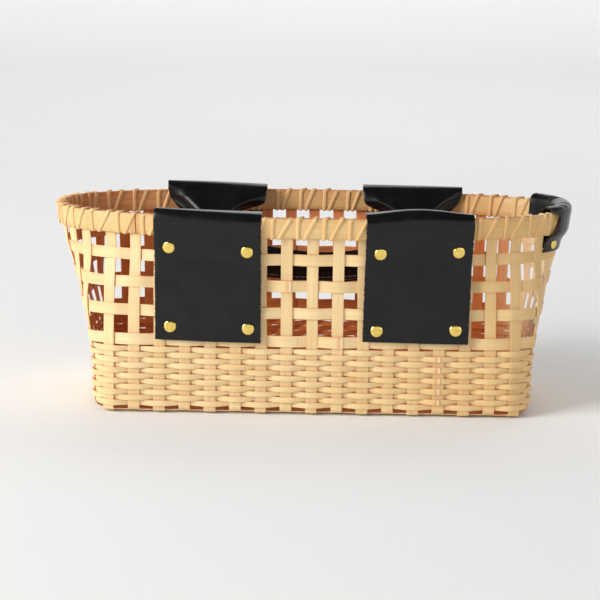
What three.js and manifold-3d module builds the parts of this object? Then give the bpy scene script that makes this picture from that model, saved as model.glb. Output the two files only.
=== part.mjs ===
// A woven bamboo basket bag in millimetres: +Z up, +X along the basket, -Y the front.
// The origin is under the middle of the woven base, on the surface the basket stands on.
// Upright strips run under the base and up both walls, flat weavers go round them in turn,
// two hoops clamp the strip ends at the rim, and a cane lashing binds the hoops.
// Leather flaps are riveted over the rim and carry two leather handles that swing.
import * as THREE from "three";
import { mergeVertices } from "three/addons/utils/BufferGeometryUtils.js";
import Module from "manifold-3d";

const wasm = await Module();
wasm.setup();

// Gap kept between pieces that touch on the real basket.
const CLEARANCE = 0.3;

// Strips of the base and walls.
const PITCH = 20;
const CROSS_STRIPS = 17;
const LENGTH_STRIPS = 7;
const STRIP_WIDTH = 9.2;
const STRIP_THICKNESS = 0.8;
const BASE_WAVE = 1.05;
const REST_FLAT = 6;

// Outline of the wall's middle plane at the base and at the rim.
const BOTTOM_ROUNDING = 5.5;
const SIDE_SPARE = 5.6;
const BASE_CORNER_RADIUS = 18.2;
const END_FLARE = 32.2;
const RIM_SHIFT = -2;
const SIDE_FLARE = 2.3;
const RIM_SQUARENESS = 2.39;
const RIM_SPREAD = 1.005;
const CORNER_SHARE = 0.32;
const NARROW_GAP_FLARE = 0.17;
const WIDE_GAP_FLARE = 0.44;
const HOOP_SLOPE = 0.12;
const STEP_TWIST = 8;

// Weavers, from the rim down: four wide rows and eleven narrow ones. A wide row's share is how
// far it stands from the lowest wide row to the hoops.
const WEAVER_THICKNESS = 0.8;
const WIDE_ROW_SHARES = [0.794, 0.5415, 0.277, 0];
const WIDE_ROW_WIDTH = 9;
const WIDE_ROW_GAP = 1.4;
const NARROW_ROWS = 11;
const NARROW_ROW_WIDTH = 4;
const NARROW_ROW_PITCH = 4.5;
const NARROW_TOP = 50.6;
const WEAVER_EDGE = 1.2;
const WAVE_ROUNDS = 6;

// Rim hoops and their lashing.
const RIM_TOP = 157;
const HOOP_HEIGHT = 16.5;
const HOOP_THICKNESS = 2.6;
const CANE_WIDTH = 2.6;
const CANE_HEIGHT = 1.2;

// Leather flaps, handles and end sleeve.
const LEATHER = 1.8;
const FLAP_CENTRE = 81.8;
const FLAP_WIDTH = 83;
const FLAP_END = 9.8;
const FOLD_RISE = 4.6;
const HANDLE_DROP = 76;
const HANDLE_BAND = 24;
const HANDLE_THICKNESS = 6;
const TONGUE_RISE = 20;
const TONGUE_TIP = 1.2;
const TONGUE_BACK = 0.15;
const FRONT_LEAN = 38;
const BACK_LEAN = 10;
const SLEEVE_SKIRT = 9.2;
const SLEEVE_RIVET_RADIUS = 3.6;

// Rivets. The upper ones pass just above the top row, and the lower ones between the two lowest
// wide rows.
const RIVET_SPACING = 61;
const RIVET_ABOVE_ROW = 3.4;
const RIVET_HEAD_RADIUS = 4.8;
const RIVET_HEAD_HEIGHT = 2;
const RIVET_POST_RADIUS = 1.5;
const WASHER_RADIUS = 7;
const WASHER_THICKNESS = 0.8;

// Values worked out from the sizes above.
const HALF_CROSS = (CROSS_STRIPS - 1) / 2;
const HALF_LENGTH = (LENGTH_STRIPS - 1) / 2;
const QUARTER = HALF_CROSS + 1 + HALF_LENGTH;
const STAKES = 4 * QUARTER;
const BASE_MIDDLE = STRIP_THICKNESS / 2 + BASE_WAVE;
const BEND_TOP = BASE_MIDDLE + BOTTOM_ROUNDING;
const STRIP_CLEAR = STRIP_WIDTH / 2 + CLEARANCE;
const BASE_HALF_LENGTH = HALF_CROSS * PITCH + STRIP_CLEAR + BOTTOM_ROUNDING;
const BASE_HALF_DEPTH = HALF_LENGTH * PITCH + STRIP_CLEAR + SIDE_SPARE + BOTTOM_ROUNDING;
const RIM_HALF_DEPTH = BASE_HALF_DEPTH + SIDE_FLARE;
const RIM_BOTTOM = RIM_TOP - HOOP_HEIGHT;
const STAKE_FACE = STRIP_THICKNESS / 2;
const HOOP_INNER = STAKE_FACE + CLEARANCE;
const HOOP_OUTER = HOOP_INNER + HOOP_THICKNESS;
const CANE_SEAT = HOOP_OUTER + CLEARANCE;
const CANE_FACE = CANE_SEAT + CANE_HEIGHT;
const CANE_BOTTOM = RIM_BOTTOM - CLEARANCE - CANE_HEIGHT;
const WEAVER_WAVE = WEAVER_EDGE / (1 - STRIP_WIDTH / PITCH);
const WEAVER_FACE = WEAVER_WAVE + WEAVER_THICKNESS / 2;
const LEATHER_SEAT = CANE_FACE + 2 * CLEARANCE;
const BEND_TURNS = [0, 45, 90].map((degrees) => THREE.MathUtils.degToRad(degrees));

const LOWEST_WIDE_ROW = NARROW_TOP + (NARROW_ROW_WIDTH + WIDE_ROW_WIDTH) / 2 + WIDE_ROW_GAP;
const WIDE_ROW_HEIGHTS = WIDE_ROW_SHARES.map((share) => LOWEST_WIDE_ROW + share * (RIM_BOTTOM - LOWEST_WIDE_ROW));
const RIVET_UPPER = WIDE_ROW_HEIGHTS[0] + WIDE_ROW_WIDTH / 2 + RIVET_ABOVE_ROW;
const RIVET_LOWER = (WIDE_ROW_HEIGHTS[2] + WIDE_ROW_HEIGHTS[3]) / 2;
const FLAP_BOTTOM = RIVET_LOWER - FLAP_END;

// The walls are straight in height between these levels, which lie in gaps between rows.
const NARROW_GAP = (NARROW_TOP + NARROW_ROW_WIDTH / 2 + WIDE_ROW_HEIGHTS[3] - WIDE_ROW_WIDTH / 2) / 2;
const WIDE_GAP = (WIDE_ROW_HEIGHTS[1] + WIDE_ROW_HEIGHTS[2]) / 2;
const BAND_FOOT = WIDE_ROW_HEIGHTS[0] + WIDE_ROW_WIDTH / 2 + CLEARANCE;
const WALL_LEVELS = [BEND_TOP, NARROW_GAP, WIDE_GAP, BAND_FOOT, RIM_TOP];
const WALL_FLARES = [0, NARROW_GAP_FLARE, WIDE_GAP_FLARE, 1];

const BAMBOO = new THREE.MeshStandardMaterial({ color: 0xe8cf9a, roughness: 0.55 });
const CANE = new THREE.MeshStandardMaterial({ color: 0xdcb377, roughness: 0.5 });
const BLACK_LEATHER = new THREE.MeshStandardMaterial({ color: 0x17181a, roughness: 0.35 });
const BRASS = new THREE.MeshStandardMaterial({ color: 0xd8a93a, roughness: 0.18, metalness: 1 });

const basket = new THREE.Group();

function addMesh(parent, name, geometry, material) {
  const mesh = new THREE.Mesh(geometry, material);
  mesh.name = name;
  parent.add(mesh);
  return mesh;
}

// The base outline's quarter from the middle of the front to the middle of an end, by length.
const STRAIGHT_FRONT = BASE_HALF_LENGTH - BASE_CORNER_RADIUS;
const STRAIGHT_END = BASE_HALF_DEPTH - BASE_CORNER_RADIUS;
const CORNER_LENGTH = (Math.PI / 2) * BASE_CORNER_RADIUS;
const BASE_QUARTER = STRAIGHT_FRONT + CORNER_LENGTH + STRAIGHT_END;

function basePoint(length) {
  if (length < STRAIGHT_FRONT) return [length, BASE_HALF_DEPTH];
  if (length > STRAIGHT_FRONT + CORNER_LENGTH) return [BASE_HALF_LENGTH, BASE_QUARTER - length];
  const turn = (length - STRAIGHT_FRONT) / BASE_CORNER_RADIUS;
  return [
    STRAIGHT_FRONT + BASE_CORNER_RADIUS * Math.sin(turn),
    STRAIGHT_END + BASE_CORNER_RADIUS * Math.cos(turn),
  ];
}

// How far along the quarter the strip at this place stands, counted in strips from the middle.
function baseLength(place) {
  if (place <= HALF_CROSS) {
    const x = place * PITCH;
    if (x <= STRAIGHT_FRONT) return x;
    return STRAIGHT_FRONT + BASE_CORNER_RADIUS * Math.asin((x - STRAIGHT_FRONT) / BASE_CORNER_RADIUS);
  }
  if (place >= HALF_CROSS + 1) {
    const y = (QUARTER - place) * PITCH;
    if (y <= STRAIGHT_END) return BASE_QUARTER - y;
    return STRAIGHT_FRONT + BASE_CORNER_RADIUS * Math.acos((y - STRAIGHT_END) / BASE_CORNER_RADIUS);
  }
  const before = baseLength(HALF_CROSS);
  return before + (place - HALF_CROSS) * (baseLength(HALF_CROSS + 1) - before);
}

// The rim is a squared oval, whose end stakes are spread evenly along it by length. A place on
// it can be moved inwards by an inset.
function rimQuarter(halfLength) {
  const depthAt = (x) =>
    RIM_HALF_DEPTH * Math.pow(Math.max(0, 1 - Math.pow(x / halfLength, RIM_SQUARENESS)), 1 / RIM_SQUARENESS);
  const cornerX = HALF_CROSS * PITCH * RIM_SPREAD;
  const cornerTurn = Math.acos(cornerX / halfLength);
  const steps = 200;
  const points = [];
  const lengths = [0];
  for (let i = 0; i <= steps; i++) {
    const x = halfLength * Math.cos(cornerTurn * (1 - i / steps));
    points.push([x, depthAt(x)]);
    if (i > 0) lengths.push(lengths[i - 1] + Math.hypot(x - points[i - 1][0], points[i][1] - points[i - 1][1]));
  }
  const total = lengths[steps];
  const pointAt = (place) => {
    if (place <= HALF_CROSS) {
      const x = place * PITCH * RIM_SPREAD;
      return [x, depthAt(x)];
    }
    const past = place - HALF_CROSS;
    const share = past < 1 ? past * CORNER_SHARE : CORNER_SHARE + ((past - 1) / HALF_LENGTH) * (1 - CORNER_SHARE);
    const length = share * total;
    let i = 1;
    while (i < steps && lengths[i] < length) i++;
    const part = (length - lengths[i - 1]) / (lengths[i] - lengths[i - 1]);
    return [0, 1].map((axis) => points[i - 1][axis] + part * (points[i][axis] - points[i - 1][axis]));
  };
  return (place, inset) => {
    const [x, y] = pointAt(place);
    const slopeX = Math.pow(x / halfLength, RIM_SQUARENESS - 1) / halfLength;
    const slopeY = Math.pow(y / RIM_HALF_DEPTH, RIM_SQUARENESS - 1) / RIM_HALF_DEPTH;
    const size = Math.hypot(slopeX, slopeY);
    return [x - (inset * slopeX) / size, y - (inset * slopeY) / size];
  };
}
const rimRight = rimQuarter(BASE_HALF_LENGTH + END_FLARE + RIM_SHIFT);
const rimLeft = rimQuarter(BASE_HALF_LENGTH + END_FLARE - RIM_SHIFT);

// The straight stretch that a height lies in: its two levels and the height's share of it.
function stretchAt(height) {
  const above = WALL_LEVELS.findIndex((level) => level > Math.max(height, BEND_TOP));
  const next = above < 0 ? WALL_LEVELS.length - 1 : above;
  const [low, high] = [WALL_LEVELS[next - 1], WALL_LEVELS[next]];
  return { low, high, share: (height - low) / (high - low) };
}

// Stakes are counted from 0 at the front's left strip, round by the right end and the back.
// A place between two stakes is a number with a fraction.
function outlinePoint(stake, height) {
  const turn = (((stake - HALF_CROSS) % STAKES) + STAKES) % STAKES;
  const right = turn <= 2 * QUARTER;
  const front = turn <= QUARTER || turn >= 3 * QUARTER;
  const half = right ? turn : STAKES - turn;
  const place = half <= QUARTER ? half : 2 * QUARTER - half;
  const base = new THREE.Vector2(...basePoint(baseLength(place)));
  const rimAt = (inset) => new THREE.Vector2(...(right ? rimRight : rimLeft)(place, inset));
  const levelAt = (level) => {
    if (level >= BAND_FOOT) return rimAt((RIM_TOP - level) * HOOP_SLOPE);
    const band = rimAt((RIM_TOP - BAND_FOOT) * HOOP_SLOPE);
    return base.clone().lerp(band, WALL_FLARES[WALL_LEVELS.indexOf(level)]);
  };
  const { low, high, share } = stretchAt(Math.max(height, BEND_TOP));
  const { x, y } = levelAt(low).lerp(levelAt(high), share);
  return new THREE.Vector2(right ? x : -x, front ? -y : y);
}

const PROBE = 0.02;

function wallPoint(stake, height) {
  const point = outlinePoint(stake, height);
  const along = outlinePoint(stake + PROBE, height).sub(outlinePoint(stake - PROBE, height)).normalize();
  const inset = Math.max(0, BEND_TOP - height) * Math.tan(BEND_TURNS[1] / 2);
  return new THREE.Vector3(point.x - inset * along.y, point.y + inset * along.x, height);
}

// The wall's directions at one place: along the rows and outwards.
function wallFrame(stake, height) {
  const along = wallPoint(stake + PROBE, height).sub(wallPoint(stake - PROBE, height)).normalize();
  const rise = wallPoint(stake, height + PROBE).sub(wallPoint(stake, height));
  const out = new THREE.Vector3().crossVectors(along, rise).normalize();
  return { point: wallPoint(stake, height), along, out };
}

// The same directions on the strip that stands at a stake. A strip is straight across and turns
// evenly from level to level, and between the hoops it lies flat along the rim.
function stakeFrame(stake, height) {
  const { low, high, share } = stretchAt(height);
  const turned = THREE.MathUtils.clamp(share, 0, 1);
  const along = wallFrame(stake, low).along.lerp(wallFrame(stake, high).along, turned).normalize();
  const foot = height < BEND_TOP ? height : low;
  const rise = wallPoint(stake, foot + 1).sub(wallPoint(stake, foot));
  const out = new THREE.Vector3().crossVectors(along, rise).normalize();
  return { point: wallPoint(stake, height), along, out };
}

function offset(frame, along, out) {
  return frame.point.clone().addScaledVector(frame.along, along).addScaledVector(frame.out, out);
}

// Joins rings of points into one closed solid. The first half of a ring is one side of the
// section and the second half comes back along the other side.
function loft(rings, closed = false) {
  const size = rings[0].length;
  const positions = rings.flat().flatMap((point) => point.toArray());
  const indices = [];
  const spans = closed ? rings.length : rings.length - 1;
  for (let i = 0; i < spans; i++) {
    const next = (i + 1) % rings.length;
    for (let k = 0; k < size; k++) {
      const after = (k + 1) % size;
      indices.push(i * size + k, i * size + after, next * size + after);
      indices.push(i * size + k, next * size + after, next * size + k);
    }
  }
  const last = (rings.length - 1) * size;
  for (let k = 0; !closed && k < size / 2 - 1; k++) {
    const across = size - 1 - k;
    indices.push(k, across, across - 1, k, across - 1, k + 1);
    indices.push(last + k, last + across - 1, last + across, last + k, last + k + 1, last + across - 1);
  }
  const geometry = new THREE.BufferGeometry();
  geometry.setAttribute("position", new THREE.Float32BufferAttribute(positions, 3));
  geometry.setIndex(volume(positions, indices) < 0 ? indices.reverse() : indices);
  return geometry;
}

function volume(positions, indices) {
  const corner = (i) => new THREE.Vector3().fromArray(positions, 3 * i);
  let sum = 0;
  for (let i = 0; i < indices.length; i += 3) {
    sum += corner(indices[i]).dot(corner(indices[i + 1]).cross(corner(indices[i + 2])));
  }
  return sum / 6;
}

function toSolid(geometry) {
  const plain = geometry.clone();
  plain.deleteAttribute("normal");
  plain.deleteAttribute("uv");
  const merged = mergeVertices(plain, 1e-4);
  return new wasm.Manifold(
    new wasm.Mesh({
      numProp: 3,
      vertProperties: new Float32Array(merged.attributes.position.array),
      triVerts: new Uint32Array(merged.index.array),
    }),
  );
}

function toGeometry(solid) {
  const mesh = solid.getMesh();
  const geometry = new THREE.BufferGeometry();
  geometry.setAttribute("position", new THREE.BufferAttribute(mesh.vertProperties, 3));
  geometry.setIndex(new THREE.BufferAttribute(mesh.triVerts, 1));
  return geometry;
}

// One strip from rim to rim: down a wall, under the base and up the far wall.
// A section is a rectangle given by its middle, its half width and its half thickness.
function stripSection(middle, across, through) {
  const wide = across.clone().multiplyScalar(STRIP_WIDTH / 2);
  const thick = through.clone().multiplyScalar(STRIP_THICKNESS / 2);
  return [
    middle.clone().sub(wide).add(thick),
    middle.clone().add(wide).add(thick),
    middle.clone().add(wide).sub(thick),
    middle.clone().sub(wide).sub(thick),
  ];
}

// The wall and bend sections of one strip end, from the rim to the base. A stretch in which the
// strip twists much is cut into steps.
function wallSections(stake) {
  const heights = [RIM_TOP];
  for (let i = WALL_LEVELS.length - 1; i > 1; i--) {
    const [low, high] = [WALL_LEVELS[i - 1], WALL_LEVELS[i]];
    const twist = THREE.MathUtils.radToDeg(wallFrame(stake, low).along.angleTo(wallFrame(stake, high).along));
    const steps = Math.max(1, Math.ceil(twist / STEP_TWIST));
    for (let step = 1; step <= steps; step++) heights.push(high + (step / steps) * (low - high));
  }
  const sections = heights.map((height) => {
    const frame = stakeFrame(stake, height);
    return stripSection(frame.point, frame.along, frame.out);
  });
  const foot = wallFrame(stake, BEND_TOP);
  for (const turn of BEND_TURNS) {
    const height = BEND_TOP - BOTTOM_ROUNDING * Math.sin(turn);
    const inward = BOTTOM_ROUNDING * (1 - Math.cos(turn));
    const outward = new THREE.Vector3(foot.out.x, foot.out.y, 0).normalize();
    if (turn === BEND_TURNS.at(-1)) {
      const alongY = stake < CROSS_STRIPS || isBack(stake);
      outward.set(alongY ? 0 : Math.sign(outward.x), alongY ? Math.sign(outward.y) : 0, 0);
    }
    const across = new THREE.Vector3(0, 0, 1).cross(outward);
    const middle = new THREE.Vector3(foot.point.x, foot.point.y, height);
    middle.addScaledVector(outward, -inward);
    const through = outward.clone().multiplyScalar(Math.cos(turn));
    through.z = -Math.sin(turn);
    sections.push(stripSection(middle, across, through));
  }
  return sections;
}

function isBack(stake) {
  return stake >= CROSS_STRIPS + LENGTH_STRIPS && stake < 2 * CROSS_STRIPS + LENGTH_STRIPS;
}
const backStake = (strip) => 2 * CROSS_STRIPS + LENGTH_STRIPS - 1 - strip;
const rightStake = (strip) => CROSS_STRIPS + strip;
const leftStake = (strip) => STAKES - 1 - strip;

// In the plain weave of the base, a cross strip lies over a length strip where this is 1.
const crossOver = (cross, length) => ((cross + length) % 2 === 1 ? 1 : -1);

function crossStrip(cross) {
  const x = (cross - HALF_CROSS) * PITCH;
  const down = new THREE.Vector3(0, 0, -1);
  const across = new THREE.Vector3(1, 0, 0);
  const sections = wallSections(cross);
  for (let length = 0; length < LENGTH_STRIPS; length++) {
    const middle = new THREE.Vector3(
      x,
      (length - HALF_LENGTH) * PITCH,
      BASE_MIDDLE + BASE_WAVE * crossOver(cross, length),
    );
    sections.push(stripSection(middle, across, down));
  }
  const back = wallSections(backStake(cross)).reverse();
  return loft([...sections, ...back.map(swapSides)]);
}

// Turns a section half way round, so that the far wall's sections follow the base's.
const swapSides = ([a, b, c, d]) => [b, a, d, c];

function lengthStrip(length) {
  const y = (length - HALF_LENGTH) * PITCH;
  const down = new THREE.Vector3(0, 0, -1);
  const across = new THREE.Vector3(0, 1, 0);
  const holdLevel = 0.6;
  const levelAt = (cross) => -BASE_WAVE * crossOver(cross, length);
  const half = HALF_CROSS * PITCH + STRIP_CLEAR;
  const restsFlat = length === HALF_LENGTH;
  const addSection = (list, x, level) => {
    list.push(stripSection(new THREE.Vector3(x, y, BASE_MIDDLE + level), across, down));
  };
  const sections = wallSections(leftStake(length)).map(swapSides).slice(0, -1);
  addSection(sections, -half, holdLevel * levelAt(0));
  for (let cross = 0; cross < CROSS_STRIPS; cross++) {
    const x = (cross - HALF_CROSS) * PITCH;
    if (restsFlat) {
      addSection(sections, x - REST_FLAT / 2, levelAt(cross));
      addSection(sections, x + REST_FLAT / 2, levelAt(cross));
    } else {
      addSection(sections, x, levelAt(cross));
    }
  }
  addSection(sections, half, holdLevel * levelAt(CROSS_STRIPS - 1));
  const right = wallSections(rightStake(length)).slice(0, -1).reverse();
  return loft([...sections, ...right]);
}

for (let cross = 0; cross < CROSS_STRIPS; cross++) {
  addMesh(basket, `cross_strip_${cross + 1}`, crossStrip(cross), BAMBOO);
}
for (let length = 0; length < LENGTH_STRIPS; length++) {
  addMesh(basket, `length_strip_${length + 1}`, lengthStrip(length), BAMBOO);
}

// Weavers go outside one stake and inside the next. Beside a corner they keep flat along
// the stake, because the wall turns there.
const CORNER_STAKES = [0, CROSS_STRIPS - 1, CROSS_STRIPS, CROSS_STRIPS + LENGTH_STRIPS - 1];
const FLAT_STAKES = new Set(CORNER_STAKES.flatMap((stake) => [stake, (stake + STAKES / 2) % STAKES]));
const WEAVER_NEAR = STAKE_FACE + WEAVER_THICKNESS / 2 + 2 * CLEARANCE;

function weaverSection(place, height, width, along, out) {
  const frameAt = Number.isInteger(place) ? stakeFrame : wallFrame;
  const low = frameAt(place, height - width / 2);
  const high = frameAt(place, height + width / 2);
  const half = WEAVER_THICKNESS / 2;
  return [
    offset(low, along, out + half),
    offset(high, along, out + half),
    offset(high, along, out - half),
    offset(low, along, out - half),
  ];
}

// How far from each stake's middle a row's weaver passes it, so that it still clears the strip's
// edges on its way to the other side of the two next stakes. The waves depend on each other, so
// they are worked out in a few rounds.
function rowWaves(height, sideAt) {
  const frames = Array.from({ length: STAKES }, (_, stake) => stakeFrame(stake, height));
  let waves = frames.map((_, stake) => (FLAT_STAKES.has(stake) ? WEAVER_NEAR + 2 * CLEARANCE : WEAVER_WAVE));
  for (let round = 0; round < WAVE_ROUNDS; round++) {
    waves = waves.map((wave, stake) => {
      if (FLAT_STAKES.has(stake)) return wave;
      const needs = [stake + 1, stake + STAKES - 1].map((place) => {
        const next = place % STAKES;
        const step = frames[next].point.clone().sub(frames[stake].point);
        const reach = Math.abs(step.dot(frames[stake].along)) - (FLAT_STAKES.has(next) ? STRIP_CLEAR : 0);
        const edge = STRIP_WIDTH / 2 / reach;
        return (WEAVER_EDGE + (waves[next] - sideAt(stake) * step.dot(frames[stake].out)) * edge) / (1 - edge);
      });
      return Math.max(WEAVER_WAVE, ...needs);
    });
  }
  return waves;
}

function weaver(height, width, outsideFirst) {
  const sections = [];
  const sideAt = (stake) => ((stake % 2 === 0) === outsideFirst ? 1 : -1);
  const waves = rowWaves(height, sideAt);
  for (let stake = 0; stake < STAKES; stake++) {
    const near = sideAt(stake) * WEAVER_NEAR;
    if (FLAT_STAKES.has(stake)) {
      sections.push(weaverSection(stake, height, width, -STRIP_CLEAR, near));
      sections.push(weaverSection(stake, height, width, STRIP_CLEAR, near));
    } else {
      sections.push(weaverSection(stake, height, width, 0, sideAt(stake) * waves[stake]));
    }
    if (FLAT_STAKES.has(stake) && FLAT_STAKES.has((stake + 1) % STAKES)) {
      sections.push(weaverSection(stake + 0.5, height, width, 0, 0));
    }
  }
  return loft(sections, true);
}

WIDE_ROW_HEIGHTS.forEach((height, row) => {
  addMesh(basket, `wide_weaver_${row + 1}`, weaver(height, WIDE_ROW_WIDTH, row % 2 === 0), BAMBOO);
});
for (let row = 0; row < NARROW_ROWS; row++) {
  const height = NARROW_TOP - row * NARROW_ROW_PITCH;
  const outsideFirst = (WIDE_ROW_HEIGHTS.length + row) % 2 === 0;
  addMesh(basket, `narrow_weaver_${row + 1}`, weaver(height, NARROW_ROW_WIDTH, outsideFirst), BAMBOO);
}

// The hoops are polygons with one side flat along each stake. The corner after a stake is where
// its side meets the next one. Lashing, flaps and sleeve are set off from the same polygon.
function rimCorner(stake, height, out, up) {
  const level = height + up;
  const sides = [stake, stake + 1].map((at) => {
    const frame = stakeFrame(at, height);
    const reach = out + frame.out.dot(frame.point) - frame.out.z * level;
    return { x: frame.out.x, y: frame.out.y, reach };
  });
  const [a, b] = sides;
  const cross = a.x * b.y - b.x * a.y;
  return new THREE.Vector3((a.reach * b.y - b.reach * a.y) / cross, (a.x * b.reach - b.x * a.reach) / cross, level);
}

function rimPoint(place, height, out, up = 0) {
  const after = Math.floor(place + 0.5);
  const start = rimCorner(after - 1, height, out, up);
  return start.lerp(rimCorner(after, height, out, up), place + 0.5 - after);
}

function hoop(inner, outer) {
  const sections = [];
  for (let stake = 0; stake < STAKES; stake++) {
    const place = stake + 0.5;
    sections.push([
      rimPoint(place, RIM_BOTTOM, outer),
      rimPoint(place, RIM_TOP, outer),
      rimPoint(place, RIM_TOP, inner),
      rimPoint(place, RIM_BOTTOM, inner),
    ]);
  }
  return loft(sections, true);
}
addMesh(basket, "outer_rim_hoop", hoop(HOOP_INNER, HOOP_OUTER), BAMBOO);
addMesh(basket, "inner_rim_hoop", hoop(-HOOP_OUTER, -HOOP_INNER), BAMBOO);

// The cane goes round the hoops twice in each gap between stakes: once straight up outside,
// and once slanting over to the next gap. Each place is a share of a gap from its middle.
const LASHING_TURN = [
  { place: -0.07, out: 1, top: false },
  { place: -0.06, out: 1, top: true },
  { place: 0.07, out: -1, top: true },
  { place: 0.075, out: -1, top: false },
  { place: 0.09, out: 1, top: false },
  { place: 0.55, out: 1, top: true },
  { place: 0.6, out: -1, top: true },
  { place: 0.91, out: -1, top: false },
];

function lashing() {
  const sections = [];
  for (let stake = 0; stake < STAKES; stake++) {
    for (const { place, out, top } of LASHING_TURN) {
      const middle = stake + 0.5 + place;
      const half = CANE_WIDTH / 2 / PITCH;
      const height = top ? RIM_TOP : RIM_BOTTOM;
      const away = top ? 1 : -1;
      const at = (where, lift) =>
        rimPoint(where, height, out * (CANE_SEAT + lift), away * (CLEARANCE + lift));
      sections.push([at(middle - half, 0), at(middle + half, 0), at(middle, CANE_HEIGHT)]);
    }
  }
  return loft(sections, true);
}
addMesh(basket, "rim_lashing", lashing(), CANE);

// Rivets are turned about Y and then stood square to the wall.
const Y_AXIS = new THREE.Vector3(0, 1, 0);
const WASHER_SEAT = WEAVER_FACE + CLEARANCE;

function rivetGeometry({ seat, backSeat = -WASHER_SEAT, headRadius = RIVET_HEAD_RADIUS, backRadius = WASHER_RADIUS }) {
  const head = seat + CLEARANCE;
  const profile = [
    [0, head + RIVET_HEAD_HEIGHT],
    [headRadius * 0.7, head + RIVET_HEAD_HEIGHT * 0.72],
    [headRadius, head],
    [RIVET_POST_RADIUS, head],
    [RIVET_POST_RADIUS, backSeat],
    [backRadius, backSeat],
    [backRadius, backSeat - WASHER_THICKNESS],
    [0, backSeat - WASHER_THICKNESS],
  ].map(([radius, height]) => new THREE.Vector2(radius, height));
  return new THREE.LatheGeometry(profile.reverse(), 8);
}

function stand(mesh, frame) {
  mesh.position.copy(frame.point);
  mesh.quaternion.setFromUnitVectors(Y_AXIS, frame.out);
  return mesh;
}

// A flap's outer panel lies over the weavers and leans out over the lashing. Its inner face is
// straight between these levels.
const PANEL_FOOT = WEAVER_FACE + 3 * CLEARANCE;
const PANEL_LEVELS = [
  { height: FLAP_BOTTOM, seat: PANEL_FOOT },
  { height: WIDE_GAP, seat: PANEL_FOOT },
  { height: CANE_BOTTOM, seat: LEATHER_SEAT },
];

function panelPoint(place, height, lift) {
  const [low, high] = height < WIDE_GAP ? PANEL_LEVELS : PANEL_LEVELS.slice(1);
  const foot = rimPoint(place, low.height, low.seat + lift);
  const top = rimPoint(place, high.height, high.seat + lift);
  return foot.lerp(top, (height - low.height) / (high.height - low.height));
}

// How far out along a rivet a face reaches anywhere under the rivet's head.
function reachUnder({ place, height, point, out }, radius, faceAt) {
  const step = radius / PITCH;
  const spots = [[0, 0], [-step, 0], [step, 0], [0, -radius], [0, radius]];
  return Math.max(...spots.map(([aside, up]) => faceAt(place + aside, height + up).sub(point).dot(out)));
}

// The leather's way over the rim, from outside to inside, as the inner face's distance
// outwards from the wall and up from the rim's top.
const FOLD_TURNS = [0, 35, 65, 90, 115, 145, 180].map((degrees) => THREE.MathUtils.degToRad(degrees));
const TONGUE_TURNS = FOLD_TURNS.slice(0, -1);
function foldPoint(place, turn, lift) {
  const square = (value) => Math.sign(value) * Math.pow(Math.abs(value), 0.75);
  const out = (LEATHER_SEAT + lift) * square(Math.cos(turn));
  const up = (FOLD_RISE + lift) * square(Math.sin(turn));
  return rimPoint(place, RIM_TOP, out, up);
}

// Flaps are placed by the stake count at their centre, and a rivet passes through the window
// between two stakes, where its post clears both.
const frontPlace = (x) => HALF_CROSS + x / (PITCH * RIM_SPREAD);
const backPlace = (x) => 2 * QUARTER + HALF_CROSS - x / (PITCH * RIM_SPREAD);

function windowPlace(place) {
  const middle = Math.floor(place) + 0.5;
  const room = (PITCH / 2 - STRIP_CLEAR - RIVET_POST_RADIUS) / PITCH;
  return THREE.MathUtils.clamp(place, middle - room, middle + room);
}

// The handles swing about two straight lines inside the rim, just clear of the folded flaps.
const FLAP_FAR_EDGE = FLAP_CENTRE + FLAP_WIDTH / 2;
const FOLD_DEPTH = -foldPoint(frontPlace(FLAP_FAR_EDGE), FOLD_TURNS.at(-1), LEATHER).y;
const HINGE_DEPTH = FOLD_DEPTH - LEATHER / 2 - 2 * CLEARANCE;
const HINGE_HEIGHT = RIM_TOP;

// Past the rim the flap becomes a tongue that ends in a straight edge along the hinge line.
function tonguePoint(place, lift) {
  const rise = THREE.MathUtils.degToRad(TONGUE_RISE);
  const back = LEATHER / 2 + CLEARANCE + TONGUE_BACK;
  const across = (lift / LEATHER - 0.5) * TONGUE_TIP;
  const rim = wallPoint(place, RIM_TOP);
  const depth = HINGE_DEPTH + back * Math.cos(rise) - across * Math.sin(rise);
  const height = HINGE_HEIGHT + back * Math.sin(rise) + across * Math.cos(rise);
  return new THREE.Vector3(rim.x, Math.sign(rim.y) * depth, height);
}

function flapSolid(centre) {
  const half = FLAP_WIDTH / 2 / (PITCH * RIM_SPREAD);
  const places = [-1, -0.5, 0, 0.5, 1].map((share) => centre + share * half);
  const row = (pointAt) => [
    ...places.map((place) => pointAt(place, LEATHER)),
    ...places.toReversed().map((place) => pointAt(place, 0)),
  ];
  const sections = PANEL_LEVELS.map(({ height }) => row((place, lift) => panelPoint(place, height, lift)));
  for (const turn of TONGUE_TURNS) {
    sections.push(row((place, lift) => foldPoint(place, turn, lift)));
  }
  sections.push(row(tonguePoint));
  return toSolid(loft(sections));
}

// A mesh's solid where the mesh stands.
function standingSolid(geometry, frame) {
  const mesh = stand(new THREE.Mesh(geometry), frame);
  mesh.updateMatrix();
  return toSolid(geometry.clone().applyMatrix4(mesh.matrix));
}

function cutHoles(solid, frames) {
  const radius = RIVET_POST_RADIUS + CLEARANCE;
  const drill = new THREE.CylinderGeometry(radius, radius, 4 * LEATHER_SEAT, 6);
  return frames.reduce((left, frame) => left.subtract(standingSolid(drill, frame)), solid);
}

const FLAPS = [
  { name: "front_left", centre: frontPlace(-FLAP_CENTRE), looseRivets: true },
  { name: "front_right", centre: frontPlace(FLAP_CENTRE), looseRivets: true },
  { name: "back_left", centre: backPlace(-FLAP_CENTRE), looseRivets: false },
  { name: "back_right", centre: backPlace(FLAP_CENTRE), looseRivets: false },
];

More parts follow.
